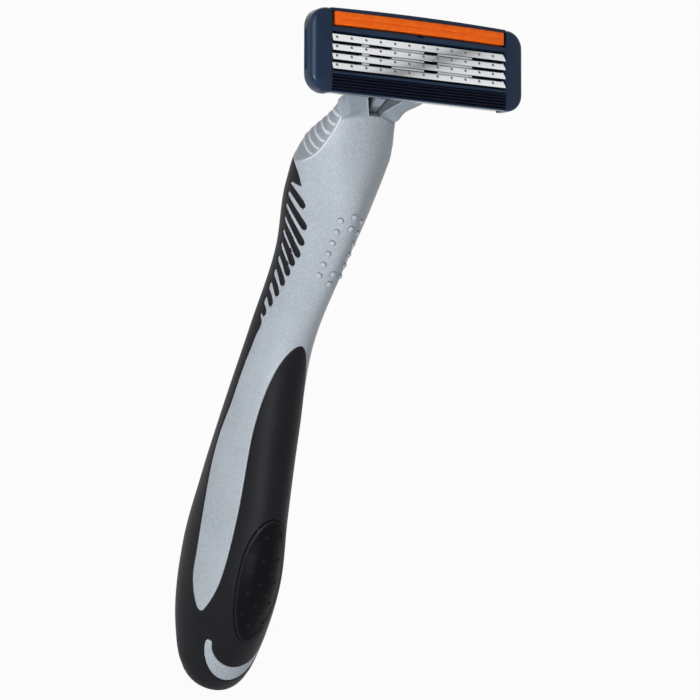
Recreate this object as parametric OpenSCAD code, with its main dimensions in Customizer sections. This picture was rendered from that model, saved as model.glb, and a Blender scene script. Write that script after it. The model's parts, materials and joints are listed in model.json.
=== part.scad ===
// Cartridge razor: soft-grip handle, detachable pivoting head, four floating blades.
// Millimetres. Z runs up the handle, X along the cartridge, the blades face -Y and tilt up.
// Handle outlines are written as distances from the vertical line through the neck seat.

/* [Handle heights] */
// Height of the neck seat above the heel
handle_l = 121.1; // [114:0.1:132]
// Height of the round at the heel
heel_round = 8.2; // [7:0.1:11]
// Height of the swell above the heel
swell_z = 13; // [12:0.5:18]
// Height of the fullest part of the belly
belly_z = 25; // [22:0.5:30]
// Height of the top of the belly
grip_z = 38; // [34:0.5:44]
// Height of the palm
palm_z = 54; // [50:0.5:60]
// Height of the waist
waist_z = 72; // [68:0.5:76]
// Drop from the seat to the rise above the waist
rise_drop = 32.1; // [30:0.1:35]
// Drop from the seat to the shoulder
shoulder_drop = 19.1; // [16:0.1:22]
// Drop from the seat to the neck
neck_drop = 9.1; // [7:0.1:12]

/* [Handle front line] */
// Place of the lowest point of the heel, front to back
heel_y = -1.5; // [-3:0.1:0]
// Front of the heel
heel_front = -3.4; // [-5:0.1:-2]
// Front of the swell
swell_front = -6.8; // [-9:0.1:-5]
// Front of the belly
belly_front = -8.2; // [-10:0.1:-6]
// Front of the top of the belly
grip_front = -5.8; // [-8:0.1:-4]
// Front of the palm
palm_front = -1.6; // [-4:0.1:0]
// Front of the waist
waist_front = 1.4; // [-1:0.1:3]
// Front of the rise
rise_front = -2.5; // [-4:0.1:-1]
// Front of the shoulder
shoulder_front = -4.5; // [-7:0.1:-3]
// Front of the neck
neck_front = -3.3; // [-5:0.1:-3]
// Front of the seat
seat_front = -2.3; // [-2.8:0.1:-2.2]

/* [Handle back line] */
// Back of the heel
heel_back = 4.8; // [3:0.1:8]
// Back of the swell
swell_back = 13.7; // [11:0.1:16]
// Back of the belly
belly_back = 18.1; // [15:0.1:20]
// Back of the top of the belly
grip_back = 19.2; // [16:0.1:21]
// Back of the palm
palm_back = 17.6; // [15:0.1:20]
// Back of the waist
waist_back = 15.5; // [13:0.1:18]
// Back of the rise
rise_back = 13.8; // [12:0.1:17]
// Back of the shoulder
shoulder_back = 13.8; // [11:0.1:15]
// Back of the neck
neck_back = 9.8; // [8:0.1:11]
// Back of the seat
seat_back = 2.2; // [1.6:0.1:2.4]

/* [Handle half widths] */
// Half width of the heel
heel_half = 6.8; // [5:0.1:9]
// Half width of the swell
swell_half = 8.8; // [7:0.1:11]
// Half width of the belly
belly_half = 8.7; // [7:0.1:11]
// Half width of the top of the belly
grip_half = 7.4; // [6:0.1:9]
// Half width of the palm
palm_half = 6.8; // [5.5:0.1:9]
// Half width of the waist
waist_half = 6; // [5:0.1:8]
// Half width of the rise
rise_half = 6.3; // [5.5:0.1:8]
// Half width of the shoulder
shoulder_half = 8.3; // [7:0.1:10]
// Half width of the neck
neck_half = 9.1; // [8:0.1:11]
// Half width of the seat
seat_half = 6.3; // [6:0.1:7.5]

/* [Handle ridge] */
// How far the front narrows to a ridge at the rise, 0 is round
rise_ridge = 0.28; // [0:0.01:0.4]
// How far the front narrows to a ridge at the shoulder
shoulder_ridge = 0.36; // [0:0.01:0.4]
// How far the front narrows to a ridge at the neck
neck_ridge = 0.25; // [0:0.01:0.4]
// Place of the widest point of a section, as a part of its depth
widest = 0.57; // [0.5:0.01:0.65]

/* [Rubber] */
// Thickness of the soft grip
rubber_t = 1.2; // [0.8:0.1:1.6]
// Height of the point of the front panel
panel_top = 72.7; // [66:0.1:78]
// Length of the round point of the front panel
panel_point = 20.7; // [16:0.1:25]
// Height of the lower tip of the flank stripe
stripe_tip = 17.2; // [14:0.1:22]
// Drop from the seat to the top of the back strip
back_drop = 10.6; // [9:0.1:14]
// Drop from the seat to the first fin of the back comb
comb_drop = 18.45; // [17:0.05:20]
// Number of fins of the back comb
fin_count = 10; // [8:1:12]
// Distance from fin to fin
fin_pitch = 2.75; // [2.4:0.05:3]
// Width of a fin
fin_w = 1.1; // [0.8:0.05:1.4]
// Length of the longest fin
fin_l = 6.3; // [4:0.1:7]
// Slope of the fins below level
fin_slope = 43; // [30:1:55]
// Height of the thumb pad's middle
pad_z = 26.5; // [24:0.5:29]
// Length of the thumb pad
pad_l = 26; // [20:0.5:28]
// Width of the thumb pad
pad_w = 9.5; // [7:0.5:11]
// Gap around the thumb pad
pad_gap = 0.05; // [0.02:0.01:0.2]
// Width of the heel crescent from tip to tip
crescent_w = 13; // [11:0.5:14]
// Height of the tips of the heel crescent
crescent_top = 12.2; // [11:0.1:13]
// Lowest point of the heel crescent
crescent_low = 3.4; // [2.5:0.1:4.5]
// Width of the heel crescent's band
crescent_band = 3.6; // [2.5:0.1:4.5]
// Width of the heel crescent's tips
crescent_tip = 0.9; // [0.6:0.1:1.4]
// Drop from the seat to the middle of the finger scoops
scoop_drop = 7.6; // [6.5:0.1:9]
// Depth of the finger scoops on the neck
scoop_d = 0.5; // [0.3:0.1:1]
// Radius of the finger scoops
scoop_r = 8; // [6:0.5:12]
// Length of a finger scoop, as a multiple of its width
scoop_stretch = 2; // [1.5:0.1:2.5]

/* [Neck and yoke] */
// Forward lean of the neck
neck_lean = 33; // [28:1:36]
// Distance from the seat to the pivot, along the lean
yoke_reach = 12.4; // [11.5:0.1:14]
// Distance of the pivot behind the neck line
pivot_behind = 1.1; // [0.8:0.1:1.3]
// Width of the shank that plugs into the neck
shank_w = 7.2; // [6.6:0.1:7.8]
// Thickness of the shank
shank_t = 2.6; // [2.4:0.05:2.7]
// Length of the shank
shank_l = 10; // [9:0.1:12]
// Distance of the shank's middle in front of the neck line
shank_front = 0.55; // [0.4:0.05:0.7]
// Clearance of the shank in its socket, each side
shank_gap = 0.05; // [0.03:0.01:0.1]
// Half width of the arms at the seat
arm_base_half = 6.6; // [6:0.1:7.5]
// Half width of the gap between the arms at the seat
arm_gap_half = 1.2; // [1.1:0.05:1.5]
// Height of the knee of the arms above the seat
arm_knee = 4.4; // [3.8:0.1:5.5]
// Half width of the arms at the knee
knee_half = 10.1; // [9:0.1:10.6]
// Half width of the gap between the arms at the knee
knee_gap_half = 3.5; // [3:0.1:4.2]
// Length of the taper at the front of an arm's tip
tip_taper = 4; // [3:0.1:5]
// Height of the bridge between the arms
bridge_h = 0.8; // [0.6:0.1:1.2]
// Gap between the arms and the neck's seat
seat_gap = 0.03; // [0.02:0.01:0.06]
// Front face of the arms, in front of the neck line
arm_front = 2.35; // [2:0.05:2.6]
// Back face of the arms, behind the neck line
arm_back = 1.6; // [1.2:0.05:1.9]
// Half distance between the outer faces of the arm tips
arm_tip_half = 11; // [10:0.1:12]
// Thickness of an arm tip along the pivot
arm_tip_w = 3.2; // [2.5:0.1:3.6]
// Radius of an arm tip
arm_tip_r = 1.7; // [1.5:0.05:1.9]
// Radius of a pivot pin
pin_r = 0.9; // [0.7:0.05:1.1]
// Length of a pivot pin
pin_l = 2.4; // [1.8:0.1:2.8]
// Running clearance of a pivot pin
pin_gap = 0.04; // [0.02:0.01:0.08]

/* [Plunger and spring] */
// Width of the plunger
plunger_w = 1.9; // [1.6:0.05:2.1]
// Thickness of the plunger
plunger_t = 1.2; // [1:0.05:1.4]
// Width of the plunger's foot
foot_w = 2.8; // [2.5:0.05:3.2]
// Length of the plunger's foot
foot_l = 1.6; // [1.2:0.1:2]
// Depth of the foot's stop below the seat
foot_stop = 2.6; // [2:0.1:3]
// Clearance of the plunger in its channel, each side
plunger_gap = 0.06; // [0.04:0.01:0.1]
// Gap between the plunger and the cam at rest
cam_gap = 0.06; // [0.03:0.01:0.1]
// Height of the cam face above the pivot
cam_rise = 0.4; // [0.2:0.1:0.8]
// Margin of the cam around the plunger
cam_margin = 0.4; // [0.3:0.05:0.6]
// Wire of the return spring
wire_d = 0.24; // [0.2:0.02:0.3]
// Clearance around the return spring and at its ends
spring_clear = 0.05; // [0.03:0.01:0.08]
// Number of curls of the return spring
spring_turns = 5; // [4:1:6]
// Thickness of the floor under the return spring
well_floor = 0.8; // [0.6:0.1:1.2]

/* [Cartridge] */
// Upward tilt of the cartridge's face
face_tilt = 28; // [22:1:32]
// Width of the cartridge
head_w = 44.5; // [41:0.5:48]
// Height of the cartridge
head_h = 14.5; // [14:0.1:16]
// Depth of the cartridge
head_d = 4.2; // [4.1:0.1:5]
// Corner radius of the cartridge
corner_r = 3.2; // [2.5:0.1:4]
// Place of the pivot above the middle of the face
pivot_up = 1; // [0:0.1:2]
// Distance of the pivot behind the cartridge's back
pivot_back = 2.4; // [2.2:0.1:3]
// Height of the rail above the strip
rail_h = 0.35; // [0.3:0.05:0.6]
// Height of the lubricating strip
strip_h = 2.5; // [2:0.1:2.8]
// Depth of the strip's pocket
strip_d = 1.6; // [1.2:0.1:2]
// How far the strip stands out of the face
strip_proud = 0.25; // [0.1:0.05:0.4]
// Gap between the strip's ends and the end caps
strip_end_gap = 0.7; // [0.4:0.05:1]
// Margin around a rinse window
rinse_margin = 1.2; // [0.8:0.1:1.6]
// Height of the bar between the strip and the blades
bar_h = 1.15; // [0.9:0.05:1.4]
// Height of the guard bar under the blades
guard_bar_h = 0.6; // [0.5:0.05:0.8]
// Height of the ribbed guard
guard_h = 2.75; // [2.4:0.05:3]
// Depth of the guard's pocket
guard_d = 1.1; // [0.9:0.05:1.4]
// Number of ribs of the guard
guard_ribs = 5; // [3:1:6]
// Height of the bottom lip
lip_h = 0.4; // [0.3:0.05:0.6]
// Gap around the strip and the guard in their pockets
pocket_gap = 0.04; // [0.02:0.01:0.1]
// Thickness of the cartridge's floor
floor_t = 0.9; // [0.6:0.05:1.1]
// Width of an end cap on the face
cap_w = 3.9; // [3.4:0.05:4.4]
// Depth of an end cap
cap_d = 3.4; // [3:0.1:4]
// Thickness of an end cap's wall
cap_wall = 0.8; // [0.6:0.05:1]
// Thickness of an end cap's front
cap_front = 1.2; // [1:0.05:1.4]
// Rounding of an end cap's outer edge
cap_round = 0.8; // [0.4:0.05:1]
// Gap between an end cap and the cartridge
cap_gap = 0.04; // [0.02:0.01:0.1]
// Width of a bearing lug
lug_w = 2.4; // [2:0.1:3]
// Wall of a bearing lug around its bore
lug_wall = 0.95; // [0.8:0.05:1.2]
// Side gap between an arm tip and a bearing lug
lug_gap = 0.15; // [0.1:0.05:0.3]

/* [Blades] */
// Distance from blade to blade
blade_pitch = 1.62; // [1.55:0.01:1.66]
// Width of a blade strip
blade_w = 1.35; // [1.2:0.01:1.4]
// Thickness of a blade
blade_t = 0.1; // [0.08:0.01:0.12]
// Tilt of a blade to the face
blade_tilt = 20; // [16:1:24]
// Length of the ground edge of a blade
edge_l = 0.3; // [0.2:0.05:0.4]
// Thickness of a blade support
support_t = 0.25; // [0.2:0.01:0.3]
// Gap from a blade's end to the cartridge
blade_end_gap = 0.15; // [0.1:0.01:0.3]
// Travel of a blade into the cartridge
blade_travel = 0.4; // [0.3:0.05:0.5]
// Length of the guide tab at each end of a support
tab_l = 0.9; // [0.6:0.05:1.2]
// Clearance of a guide tab in its slot
tab_gap = 0.06; // [0.04:0.01:0.1]

/* [Hidden] */

// Facets of the handle's loft and of round edges
sides = 40;
dome_rings = 6;
body_rings = 34;
edge_rings = 24;
fine = 48;

// Loft above the seat, roundness of the heel, overlap of cuts, and a length past every piece
loft_over = 2;
heel_power = 3.1;
cut = 1;
far = 60;

blade_count = 4;

// Stations up the handle: height, front, back, half width, ridge
STATIONS = [
    [0, heel_front, heel_back, heel_half, 0],
    [swell_z, swell_front, swell_back, swell_half, 0],
    [belly_z, belly_front, belly_back, belly_half, 0],
    [grip_z, grip_front, grip_back, grip_half, 0],
    [palm_z, palm_front, palm_back, palm_half, 0],
    [waist_z, waist_front, waist_back, waist_half, rise_ridge / 4],
    [handle_l - rise_drop, rise_front, rise_back, rise_half, rise_ridge],
    [handle_l - shoulder_drop, shoulder_front, shoulder_back, shoulder_half, shoulder_ridge],
    [handle_l - neck_drop, neck_front, neck_back, neck_half, neck_ridge],
    [handle_l, seat_front, seat_back, seat_half, neck_ridge / 2]
];

// Smooth curve through the stations of a list, in column c, at height z
function secant(s, c, i) = (s[i + 1][c] - s[i][c]) / (s[i + 1][0] - s[i][0]);
function slope(s, c, i) =
    i == 0 ? secant(s, c, 0) :
    i == len(s) - 1 ? secant(s, c, i - 1) :
    (secant(s, c, i - 1) * (s[i + 1][0] - s[i][0]) + secant(s, c, i) * (s[i][0] - s[i - 1][0]))
        / (s[i + 1][0] - s[i - 1][0]);
function span(s, z) = max([0, for (i = [0:len(s) - 2]) if (s[i][0] <= z) i]);
function hermite(a, b, ma, mb, h, t) =
    a * (1 + 2 * t) * pow(1 - t, 2) + ma * h * t * pow(1 - t, 2)
    + b * t * t * (3 - 2 * t) + mb * h * t * t * (t - 1);
function along(s, c, z) =
    let (last = len(s) - 1, i = span(s, z), h = s[i + 1][0] - s[i][0])
    z > s[last][0] ? s[last][c] + slope(s, c, last) * (z - s[last][0]) :
    hermite(s[i][c], s[i + 1][c], slope(s, c, i), slope(s, c, i + 1), h, (z - s[i][0]) / h);

// Outline of the handle at height z, drawn in by inset, shrinking to a point at the heel
function dome(z, inset) =
    z >= heel_round ? 1 :
    pow(1 - pow(1 - (z - inset) / (heel_round - inset), heel_power), 1 / heel_power);
function front_at(z, inset = 0) = heel_y + (along(STATIONS, 1, z) + inset - heel_y) * dome(z, inset);
function back_at(z, inset = 0) = heel_y + (along(STATIONS, 2, z) - inset - heel_y) * dome(z, inset);
function half_at(z, inset = 0) = (along(STATIONS, 3, z) - inset) * dome(z, inset);
function depth_at(z, part) = front_at(z) + part * (back_at(z) - front_at(z));
function ring(z, inset) =
    let (f = front_at(z, inset), b = back_at(z, inset), a = half_at(z, inset),
        e = along(STATIONS, 4, z), m = f + widest * (b - f))
    [for (j = [0:sides - 1])
        let (t = 360 * j / sides, c = cos(t), s = sin(t))
        s < 0 ? [a * c * (1 - e * s * s), m + (m - f) * s, z] : [a * c, m + (b - m) * s, z]];
function levels(inset) = concat(
    [for (i = [1:dome_rings]) inset + (heel_round - inset) * (1 - cos(90 * i / dome_rings))],
    [for (i = [1:body_rings]) heel_round + (handle_l + loft_over - heel_round) * i / body_rings]);

// Handle body as one closed loft
module loft(inset = 0) {
    z = levels(inset);
    n = len(z);
    points = concat([for (i = [0:n - 1]) each ring(z[i], inset)], [[0, heel_y, inset]]);
    pole = n * sides;
    faces = concat(
        [for (i = [0:n - 2]) for (j = [0:sides - 1])
            let (a = i * sides + j, b = i * sides + (j + 1) % sides)
            each [[a, a + sides, b + sides], [a, b + sides, b]]],
        [for (j = [0:sides - 1]) [pole, j, (j + 1) % sides]],
        [[for (j = [sides - 1:-1:0]) (n - 1) * sides + j]]);
    polyhedron(points, faces);
}

// Edges of the silver flank stripe, as parts of the section's depth
stripe_part = 0.3;
panel_part = 0.21;
root_part = 0.58;
tooth_part = 0.46;
panel_low = panel_top - panel_point;
back_top = handle_l - back_drop;
back_slope = 1 / 8;
fin_first = handle_l - comb_drop;
fin_end = fin_first - fin_pitch * (fin_count - 0.35);
tooth_z = fin_first + fin_pitch / 2;

// Back edge of the stripe: height, part of the depth
tip_round = 2.8;
tip_flare = 10;
palm_below = 4;
waist_below = 6;
BACK_EDGE = [[stripe_tip, stripe_part], [stripe_tip + tip_round, 0.44], [stripe_tip + tip_flare, 0.51],
    [palm_z - palm_below, 0.65], [waist_z - waist_below, 0.56], [fin_end, root_part]];
function front_part(z) =
    z > panel_low ? panel_part * sqrt(max(0, 1 - pow((z - panel_low) / panel_point, 2))) :
    panel_part + (stripe_part - panel_part) * pow(1 - (z - stripe_tip) / (panel_low - stripe_tip), 3);
function edge_steps(a, b, n) = [for (i = [0:n]) a + (b - a) * i / n];

// Length of a fin, t along the comb, as a share of the longest
share_first = 0.7;
share_last = 0.27;
longest_at = 0.2;
fall_power = 1.3;
function fin_share(t) =
    t < longest_at ? share_first + (1 - share_first) * t / longest_at :
    1 - (1 - share_last) * pow((t - longest_at) / (1 - longest_at), fall_power);

// Root of fin i, and the gullet of the silver gap above it
function fin_root(i) = let (z = fin_first - fin_pitch * i) [depth_at(z, root_part), z];
function gullet(i) = let (z = fin_first - fin_pitch * (i - 0.5)) [depth_at(z, root_part) + fin_w / 2, z];

// Side view of the silver surfaces: the upper handle and the flank stripe, less the fins
module silver_side() {
    along_fin = [cos(fin_slope), sin(fin_slope)];
    difference() {
        polygon(concat(
            [for (z = edge_steps(stripe_tip, fin_end, edge_rings)) [depth_at(z, along(BACK_EDGE, 1, z)), z]],
            [for (i = [fin_count - 1:-1:0]) each [fin_root(i), gullet(i)]],
            [[depth_at(tooth_z, tooth_part), tooth_z], [back_at(back_top), back_top]],
            [[far, back_top + back_slope * far], [far, handle_l + far]],
            [[-far, handle_l + far], [-far, panel_top]],
            [for (z = edge_steps(panel_top, stripe_tip, edge_rings)) [depth_at(z, front_part(z)), z]]));
        for (i = [0:fin_count - 1]) {
            root = fin_root(i);
            reach = fin_l * fin_share(i / (fin_count - 1));
            hull() {
                translate(root + fin_w * along_fin) circle(d = fin_w, $fn = 16);
                translate(root - (reach - fin_w / 2) * along_fin) circle(d = fin_w, $fn = 16);
            }
        }
    }
}

// Prism through the handle from its side view
module from_side() {
    rotate([90, 0, 90]) linear_extrude(height = far, center = true) children();
}

// Prism into the front of the handle from its front view, back to the middle of the swell
module from_front() {
    translate([0, depth_at(swell_z, stripe_part), 0]) rotate([90, 0, 0])
        linear_extrude(height = far) children();
}

module half_ellipse(half, tall) {
    scale([half, tall]) difference() {
        circle(r = 1, $fn = fine);
        translate([-1, 0]) square(2);
    }
}

module heel_crescent() {
    tall = crescent_top - crescent_low;
    from_front() translate([0, crescent_top]) difference() {
        half_ellipse(crescent_w / 2, tall);
        half_ellipse(crescent_w / 2 - crescent_tip, tall - crescent_band);
    }
}

module pad_outline(gap) {
    from_front() translate([0, pad_z]) scale([pad_w / 2 - gap, pad_l / 2 - gap]) circle(r = 1, $fn = fine);
}

// Frame of the neck: origin at the seat, Z along the lean, Y to the back
module on_neck() {
    translate([0, 0, handle_l]) rotate([neck_lean, 0, 0]) children();
}

module neck_socket() {
    w = shank_w + 2 * shank_gap;
    t = shank_t + 2 * shank_gap;
    on_neck() translate([-w / 2, -shank_front - t / 2, -shank_l - shank_gap]) cube([w, t, shank_l + cut]);
}

module seat_cut() {
    on_neck() translate([-far / 2, -far / 2, 0]) cube([far, far, far]);
}

// A shallow scoop on each flank of the neck, at the middle of its depth
module finger_scoops() {
    z = handle_l - scoop_drop;
    for (side = [-1, 1])
        translate([side * (half_at(z) + scoop_r - scoop_d), depth_at(z, 0.5), z])
            rotate([neck_lean, 0, 0]) scale([1, 1, scoop_stretch]) sphere(r = scoop_r, $fn = fine);
}

module handle_core() color("silver") translate(centre) difference() {
    union() {
        loft(rubber_t);
        intersection() {
            loft();
            union() {
                from_side() silver_side();
                heel_crescent();
            }
        }
    }
    seat_cut();
    neck_socket();
    finger_scoops();
}

module rubber_grip() color([0.13, 0.13, 0.14]) translate(centre) difference() {
    loft();
    loft(rubber_t);
    from_side() silver_side();
    heel_crescent();
    pad_outline(-pad_gap);
}

module thumb_pad() color([0.07, 0.07, 0.08]) translate(centre) intersection() {
    difference() {
        loft();
        loft(rubber_t);
    }
    pad_outline(0);
    from_side() difference() {
        translate([-far / 2, 0]) square([far, far]);
        silver_side();
    }
}

// Channel of the plunger through the shank, and the well that holds its foot and spring
channel_w = plunger_w + 2 * plunger_gap;
channel_t = plunger_t + 2 * plunger_gap;
well_w = foot_w + 2 * plunger_gap;
well_z = -shank_l + well_floor;
foot_z = -foot_stop - plunger_gap - foot_l;
lug_x = arm_tip_half + lug_gap;

// One arm of the yoke: its front view cut to its side view
module yoke_arm() {
    tip_inner = arm_tip_half - arm_tip_w;
    tip_low = yoke_reach - arm_tip_r;
    tip_high = yoke_reach + arm_tip_r + cut;
    intersection() {
        rotate([90, 0, 0]) linear_extrude(height = far, center = true) polygon([
            [arm_gap_half, seat_gap], [arm_base_half, seat_gap], [knee_half, arm_knee],
            [arm_tip_half, tip_low], [arm_tip_half, tip_high],
            [tip_inner, tip_high], [tip_inner, tip_low], [knee_gap_half, arm_knee]]);
        rotate([90, 0, 90]) linear_extrude(height = far) {
            polygon([[-arm_front, 0], [arm_back, 0], [pivot_behind + arm_tip_r, yoke_reach],
                [pivot_behind - arm_tip_r, yoke_reach], [-arm_front, yoke_reach - tip_taper]]);
            translate([pivot_behind, yoke_reach]) circle(r = arm_tip_r, $fn = fine);
        }
    }
    translate([arm_tip_half - cut, pivot_behind, yoke_reach]) rotate([0, 90, 0])
        cylinder(r = pin_r, h = pin_l + cut, $fn = fine);
}

module pivot_yoke() color([0.62, 0.65, 0.68]) translate(centre) on_neck() difference() {
    union() {
        yoke_arm();
        mirror([1, 0, 0]) yoke_arm();
        translate([-shank_w / 2, -shank_front - shank_t / 2, -shank_l])
            cube([shank_w, shank_t, shank_l + bridge_h]);
    }
    translate([-channel_w / 2, -shank_front - channel_t / 2, -foot_stop - cut])
        cube([channel_w, channel_t, foot_stop + bridge_h + 2 * cut]);
    translate([-well_w / 2, -shank_front - channel_t / 2, well_z])
        cube([well_w, channel_t, -foot_stop - well_z]);
}

// The plunger's round crest pushes the cam in front of the pivot
crest_z = yoke_reach + cam_rise - cam_gap - plunger_t / 2;

module return_plunger() color([0.72, 0.74, 0.77]) translate(centre) on_neck()
    translate([0, -shank_front, 0]) {
        translate([-plunger_w / 2, -plunger_t / 2, foot_z]) cube([plunger_w, plunger_t, crest_z - foot_z]);
        translate([-foot_w / 2, -plunger_t / 2, foot_z]) cube([foot_w, plunger_t, foot_l]);
        translate([-plunger_w / 2, 0, crest_z]) rotate([0, 90, 0])
            cylinder(d = plunger_t, h = plunger_w, $fn = fine);
    }

// Return spring: one tube wound on a helix between the well's floor and the plunger's foot
coil_r = (channel_t - wire_d) / 2 - spring_clear;
spring_low = well_z + wire_d / 2 + spring_clear;
spring_high = foot_z - wire_d / 2 - spring_clear;
curl_rings = 8;
wire_sides = 6;
spring_steps = curl_rings * spring_turns;
function coil(i) =
    let (a = 360 * i / curl_rings)
    [coil_r * cos(a), coil_r * sin(a), spring_low + (spring_high - spring_low) * i / spring_steps];
function coil_ring(i) =
    let (a = 360 * i / curl_rings)
    [for (k = [0:wire_sides - 1]) let (b = 360 * k / wire_sides)
        coil(i) + wire_d / 2 * [cos(a) * cos(b), sin(a) * cos(b), sin(b)]];
next_curl = curl_rings * 5 / 8;
spring_gap = min([for (i = [0:spring_steps]) for (k = [i + next_curl:1:spring_steps])
    norm(coil(i) - coil(k))]) - wire_d;
echo(spring_gap = spring_gap);

module return_spring() color([0.75, 0.76, 0.78]) translate(centre) on_neck() translate([0, -shank_front, 0])
    polyhedron(
        [for (i = [0:spring_steps]) each coil_ring(i)],
        concat(
            [for (i = [0:spring_steps - 1]) for (k = [0:wire_sides - 1])
                let (a = i * wire_sides + k, b = i * wire_sides + (k + 1) % wire_sides)
                each [[a, b, b + wire_sides], [a, b + wire_sides, a + wire_sides]]],
            [[for (k = [wire_sides - 1:-1:0]) k]],
            [[for (k = [0:wire_sides - 1]) spring_steps * wire_sides + k]]));

// Face of the cartridge: X along it, Y up it, Z out of it
half_h = head_h / 2;
face_half = head_w / 2 - cap_w;
pivot_at = [0, pivot_up, -head_d - pivot_back];
strip_top = half_h - rail_h;
strip_low = strip_top - strip_h;
window_top = strip_low - bar_h;
guard_low = -half_h + lip_h;
guard_top = guard_low + guard_h;
window_low = guard_top + guard_bar_h;
window_d = head_d - floor_t;
lip_drop = 0.3;
turn = 90 - face_tilt - neck_lean;

// Cartridge placed by its pivot, so that it stays on the yoke's pins
module on_face() {
    on_neck() translate([0, pivot_behind, yoke_reach]) rotate([turn, 0, 0]) translate(-pivot_at) children();
}

// Extrusion along X of an outline drawn up and out of the face
module across(half) {
    rotate([90, 0, 90]) linear_extrude(height = 2 * half, center = true) children();
}

// Front-to-back middle of the whole razor, for the origin under its middle
face_y = -yoke_reach * sin(neck_lean) + pivot_behind * cos(neck_lean)
    - pivot_up * sin(face_tilt) - (head_d + pivot_back) * cos(face_tilt);
front_y = face_y - half_h * sin(face_tilt) + lip_drop * cos(face_tilt);
front_guard_y = face_y + guard_top * sin(face_tilt);
rear_y = max([for (z = levels(0)) back_at(z)]);
centre = [0, -(rear_y + min(front_y, front_guard_y)) / 2, 0];

module cartridge_profile() {
    polygon([
        [-half_h, -head_d], [-half_h, -lip_drop], [guard_low, -lip_drop], [guard_low, -guard_d],
        [guard_top, -guard_d], [guard_top, 0], [window_low, 0], [window_low, -window_d],
        [window_top, -window_d], [window_top, -lip_drop / 2], [strip_low, 0], [strip_low, -strip_d],
        [strip_top, -strip_d], [strip_top, -lip_drop / 2], [half_h, -lip_drop], [half_h, -head_d]]);
}

// Outline of an end, drawn in from the cap's outside and run between two depths
module covered_end(inset, low, high) {
    intersection() {
        translate([0, 0, low]) linear_extrude(height = high - low) offset(delta = -inset) face_outline();
        translate([face_half - cut, -half_h, low - cut]) cube([cap_w + cut, head_h, high - low + 2 * cut]);
    }
}

// Ends of the cartridge that the caps cover, with a guide slot for each blade support
module end_block() {
    slot_w = support_t + 2 * tab_gap;
    difference() {
        covered_end(cap_wall + cap_gap, -head_d, -cap_front - cap_gap);
        for (i = [1:blade_count])
            translate([face_half - 2 * cut, leg_u(i) - support_t / 2 - slot_w / 2, -window_d])
                cube([tab_l + 2 * cut + tab_gap, slot_w, window_d]);
        translate([face_half - 2 * cut, window_low, -window_d])
            cube([2 * cut, window_top - window_low, window_d]);
        translate([face_half - 2 * cut, strip_low, -strip_d]) cube([2 * cut, strip_h, strip_d]);
        translate([face_half - 2 * cut, guard_low, -guard_d]) cube([2 * cut, guard_h, guard_d]);
    }
}

// Two bearing lugs, and the cam that the plunger pushes, behind the cartridge
module bearing_lug() {
    r = pin_r + pin_gap + lug_wall;
    translate([lug_x, pivot_at[1], pivot_at[2]]) rotate([0, 90, 0]) cylinder(r = r, h = lug_w, $fn = fine);
    translate([lug_x, pivot_at[1] - r, pivot_at[2]]) cube([lug_w, 2 * r, pivot_back + cut / 2]);
}

cam_w = plunger_w + 2 * cam_margin;

module return_cam() {
    cam_deep = plunger_t + 2 * cam_margin;
    translate(pivot_at) rotate([-turn, 0, 0])
        translate([-cam_w / 2, -pivot_behind - shank_front - cam_deep / 2, cam_rise])
            cube([cam_w, cam_deep, pivot_back]);
}

// Window through the floor beside the cam, for rinsing
module rinse_window() {
    x = cam_w / 2 + rinse_margin;
    low = window_low + rinse_margin;
    translate([x, low, -head_d - cut])
        cube([lug_x - rinse_margin - x, window_top - rinse_margin - low, floor_t + 2 * cut]);
}

module bearing_bore() {
    translate([lug_x - cut, pivot_at[1], pivot_at[2]]) rotate([0, 90, 0])
        cylinder(r = pin_r + pin_gap, h = lug_w + 2 * cut, $fn = fine);
}

module cartridge_base() color([0.11, 0.15, 0.24]) translate(centre) on_face() difference() {
    union() {
        across(face_half) cartridge_profile();
        return_cam();
        for (side = [0, 1]) mirror([side, 0, 0]) {
            end_block();
            bearing_lug();
        }
    }
    for (side = [0, 1]) mirror([side, 0, 0]) {
        rinse_window();
        bearing_bore();
    }
}

// End cap on the right: a rounded shell over the end of the cartridge
module end_cap() {
    difference() {
        intersection() {
            hull() for (a = [0, 30, 60, 90]) {
                translate([0, 0, -cap_d])
                    linear_extrude(height = cap_d - cap_round + cap_round * sin(a))
                        offset(delta = -cap_round * (1 - cos(a))) face_outline();
            }
            translate([face_half + cap_gap, -half_h, -cap_d]) cube([cap_w, head_h, cap_d + cut]);
        }
        covered_end(cap_wall, -cap_d - cut, -cap_front);
    }
}

module face_outline() {
    x = head_w / 2 - corner_r;
    y = half_h - corner_r;
    hull() for (sx = [-1, 1]) for (sy = [-1, 1]) translate([sx * x, sy * y]) circle(r = corner_r, $fn = 32);
}

module right_end_cap() color([0.11, 0.15, 0.24]) translate(centre) on_face() end_cap();

module left_end_cap() color([0.11, 0.15, 0.24]) translate(centre) on_face() mirror([1, 0, 0]) end_cap();

// Strip with eased edges and a fine groove along its middle
strip_ease = 0.25;
strip_groove = 0.1;

module lubricating_strip() color([0.95, 0.38, 0.09]) translate(centre) on_face() {
    low = strip_low + pocket_gap;
    high = strip_top - pocket_gap;
    mid = (low + high) / 2;
    foot = -strip_d + pocket_gap;
    across(face_half - strip_end_gap) polygon([
        [low, foot], [low, strip_proud - strip_ease], [low + strip_ease, strip_proud],
        [mid - strip_groove, strip_proud], [mid, strip_proud - strip_groove],
        [mid + strip_groove, strip_proud], [high - strip_ease, strip_proud],
        [high, strip_proud - strip_ease], [high, foot]]);
}

// Ribs of the guard: foot and crown of a rib, as parts of its pitch
rib_foot = 0.1;
rib_crown = 0.3;

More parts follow.
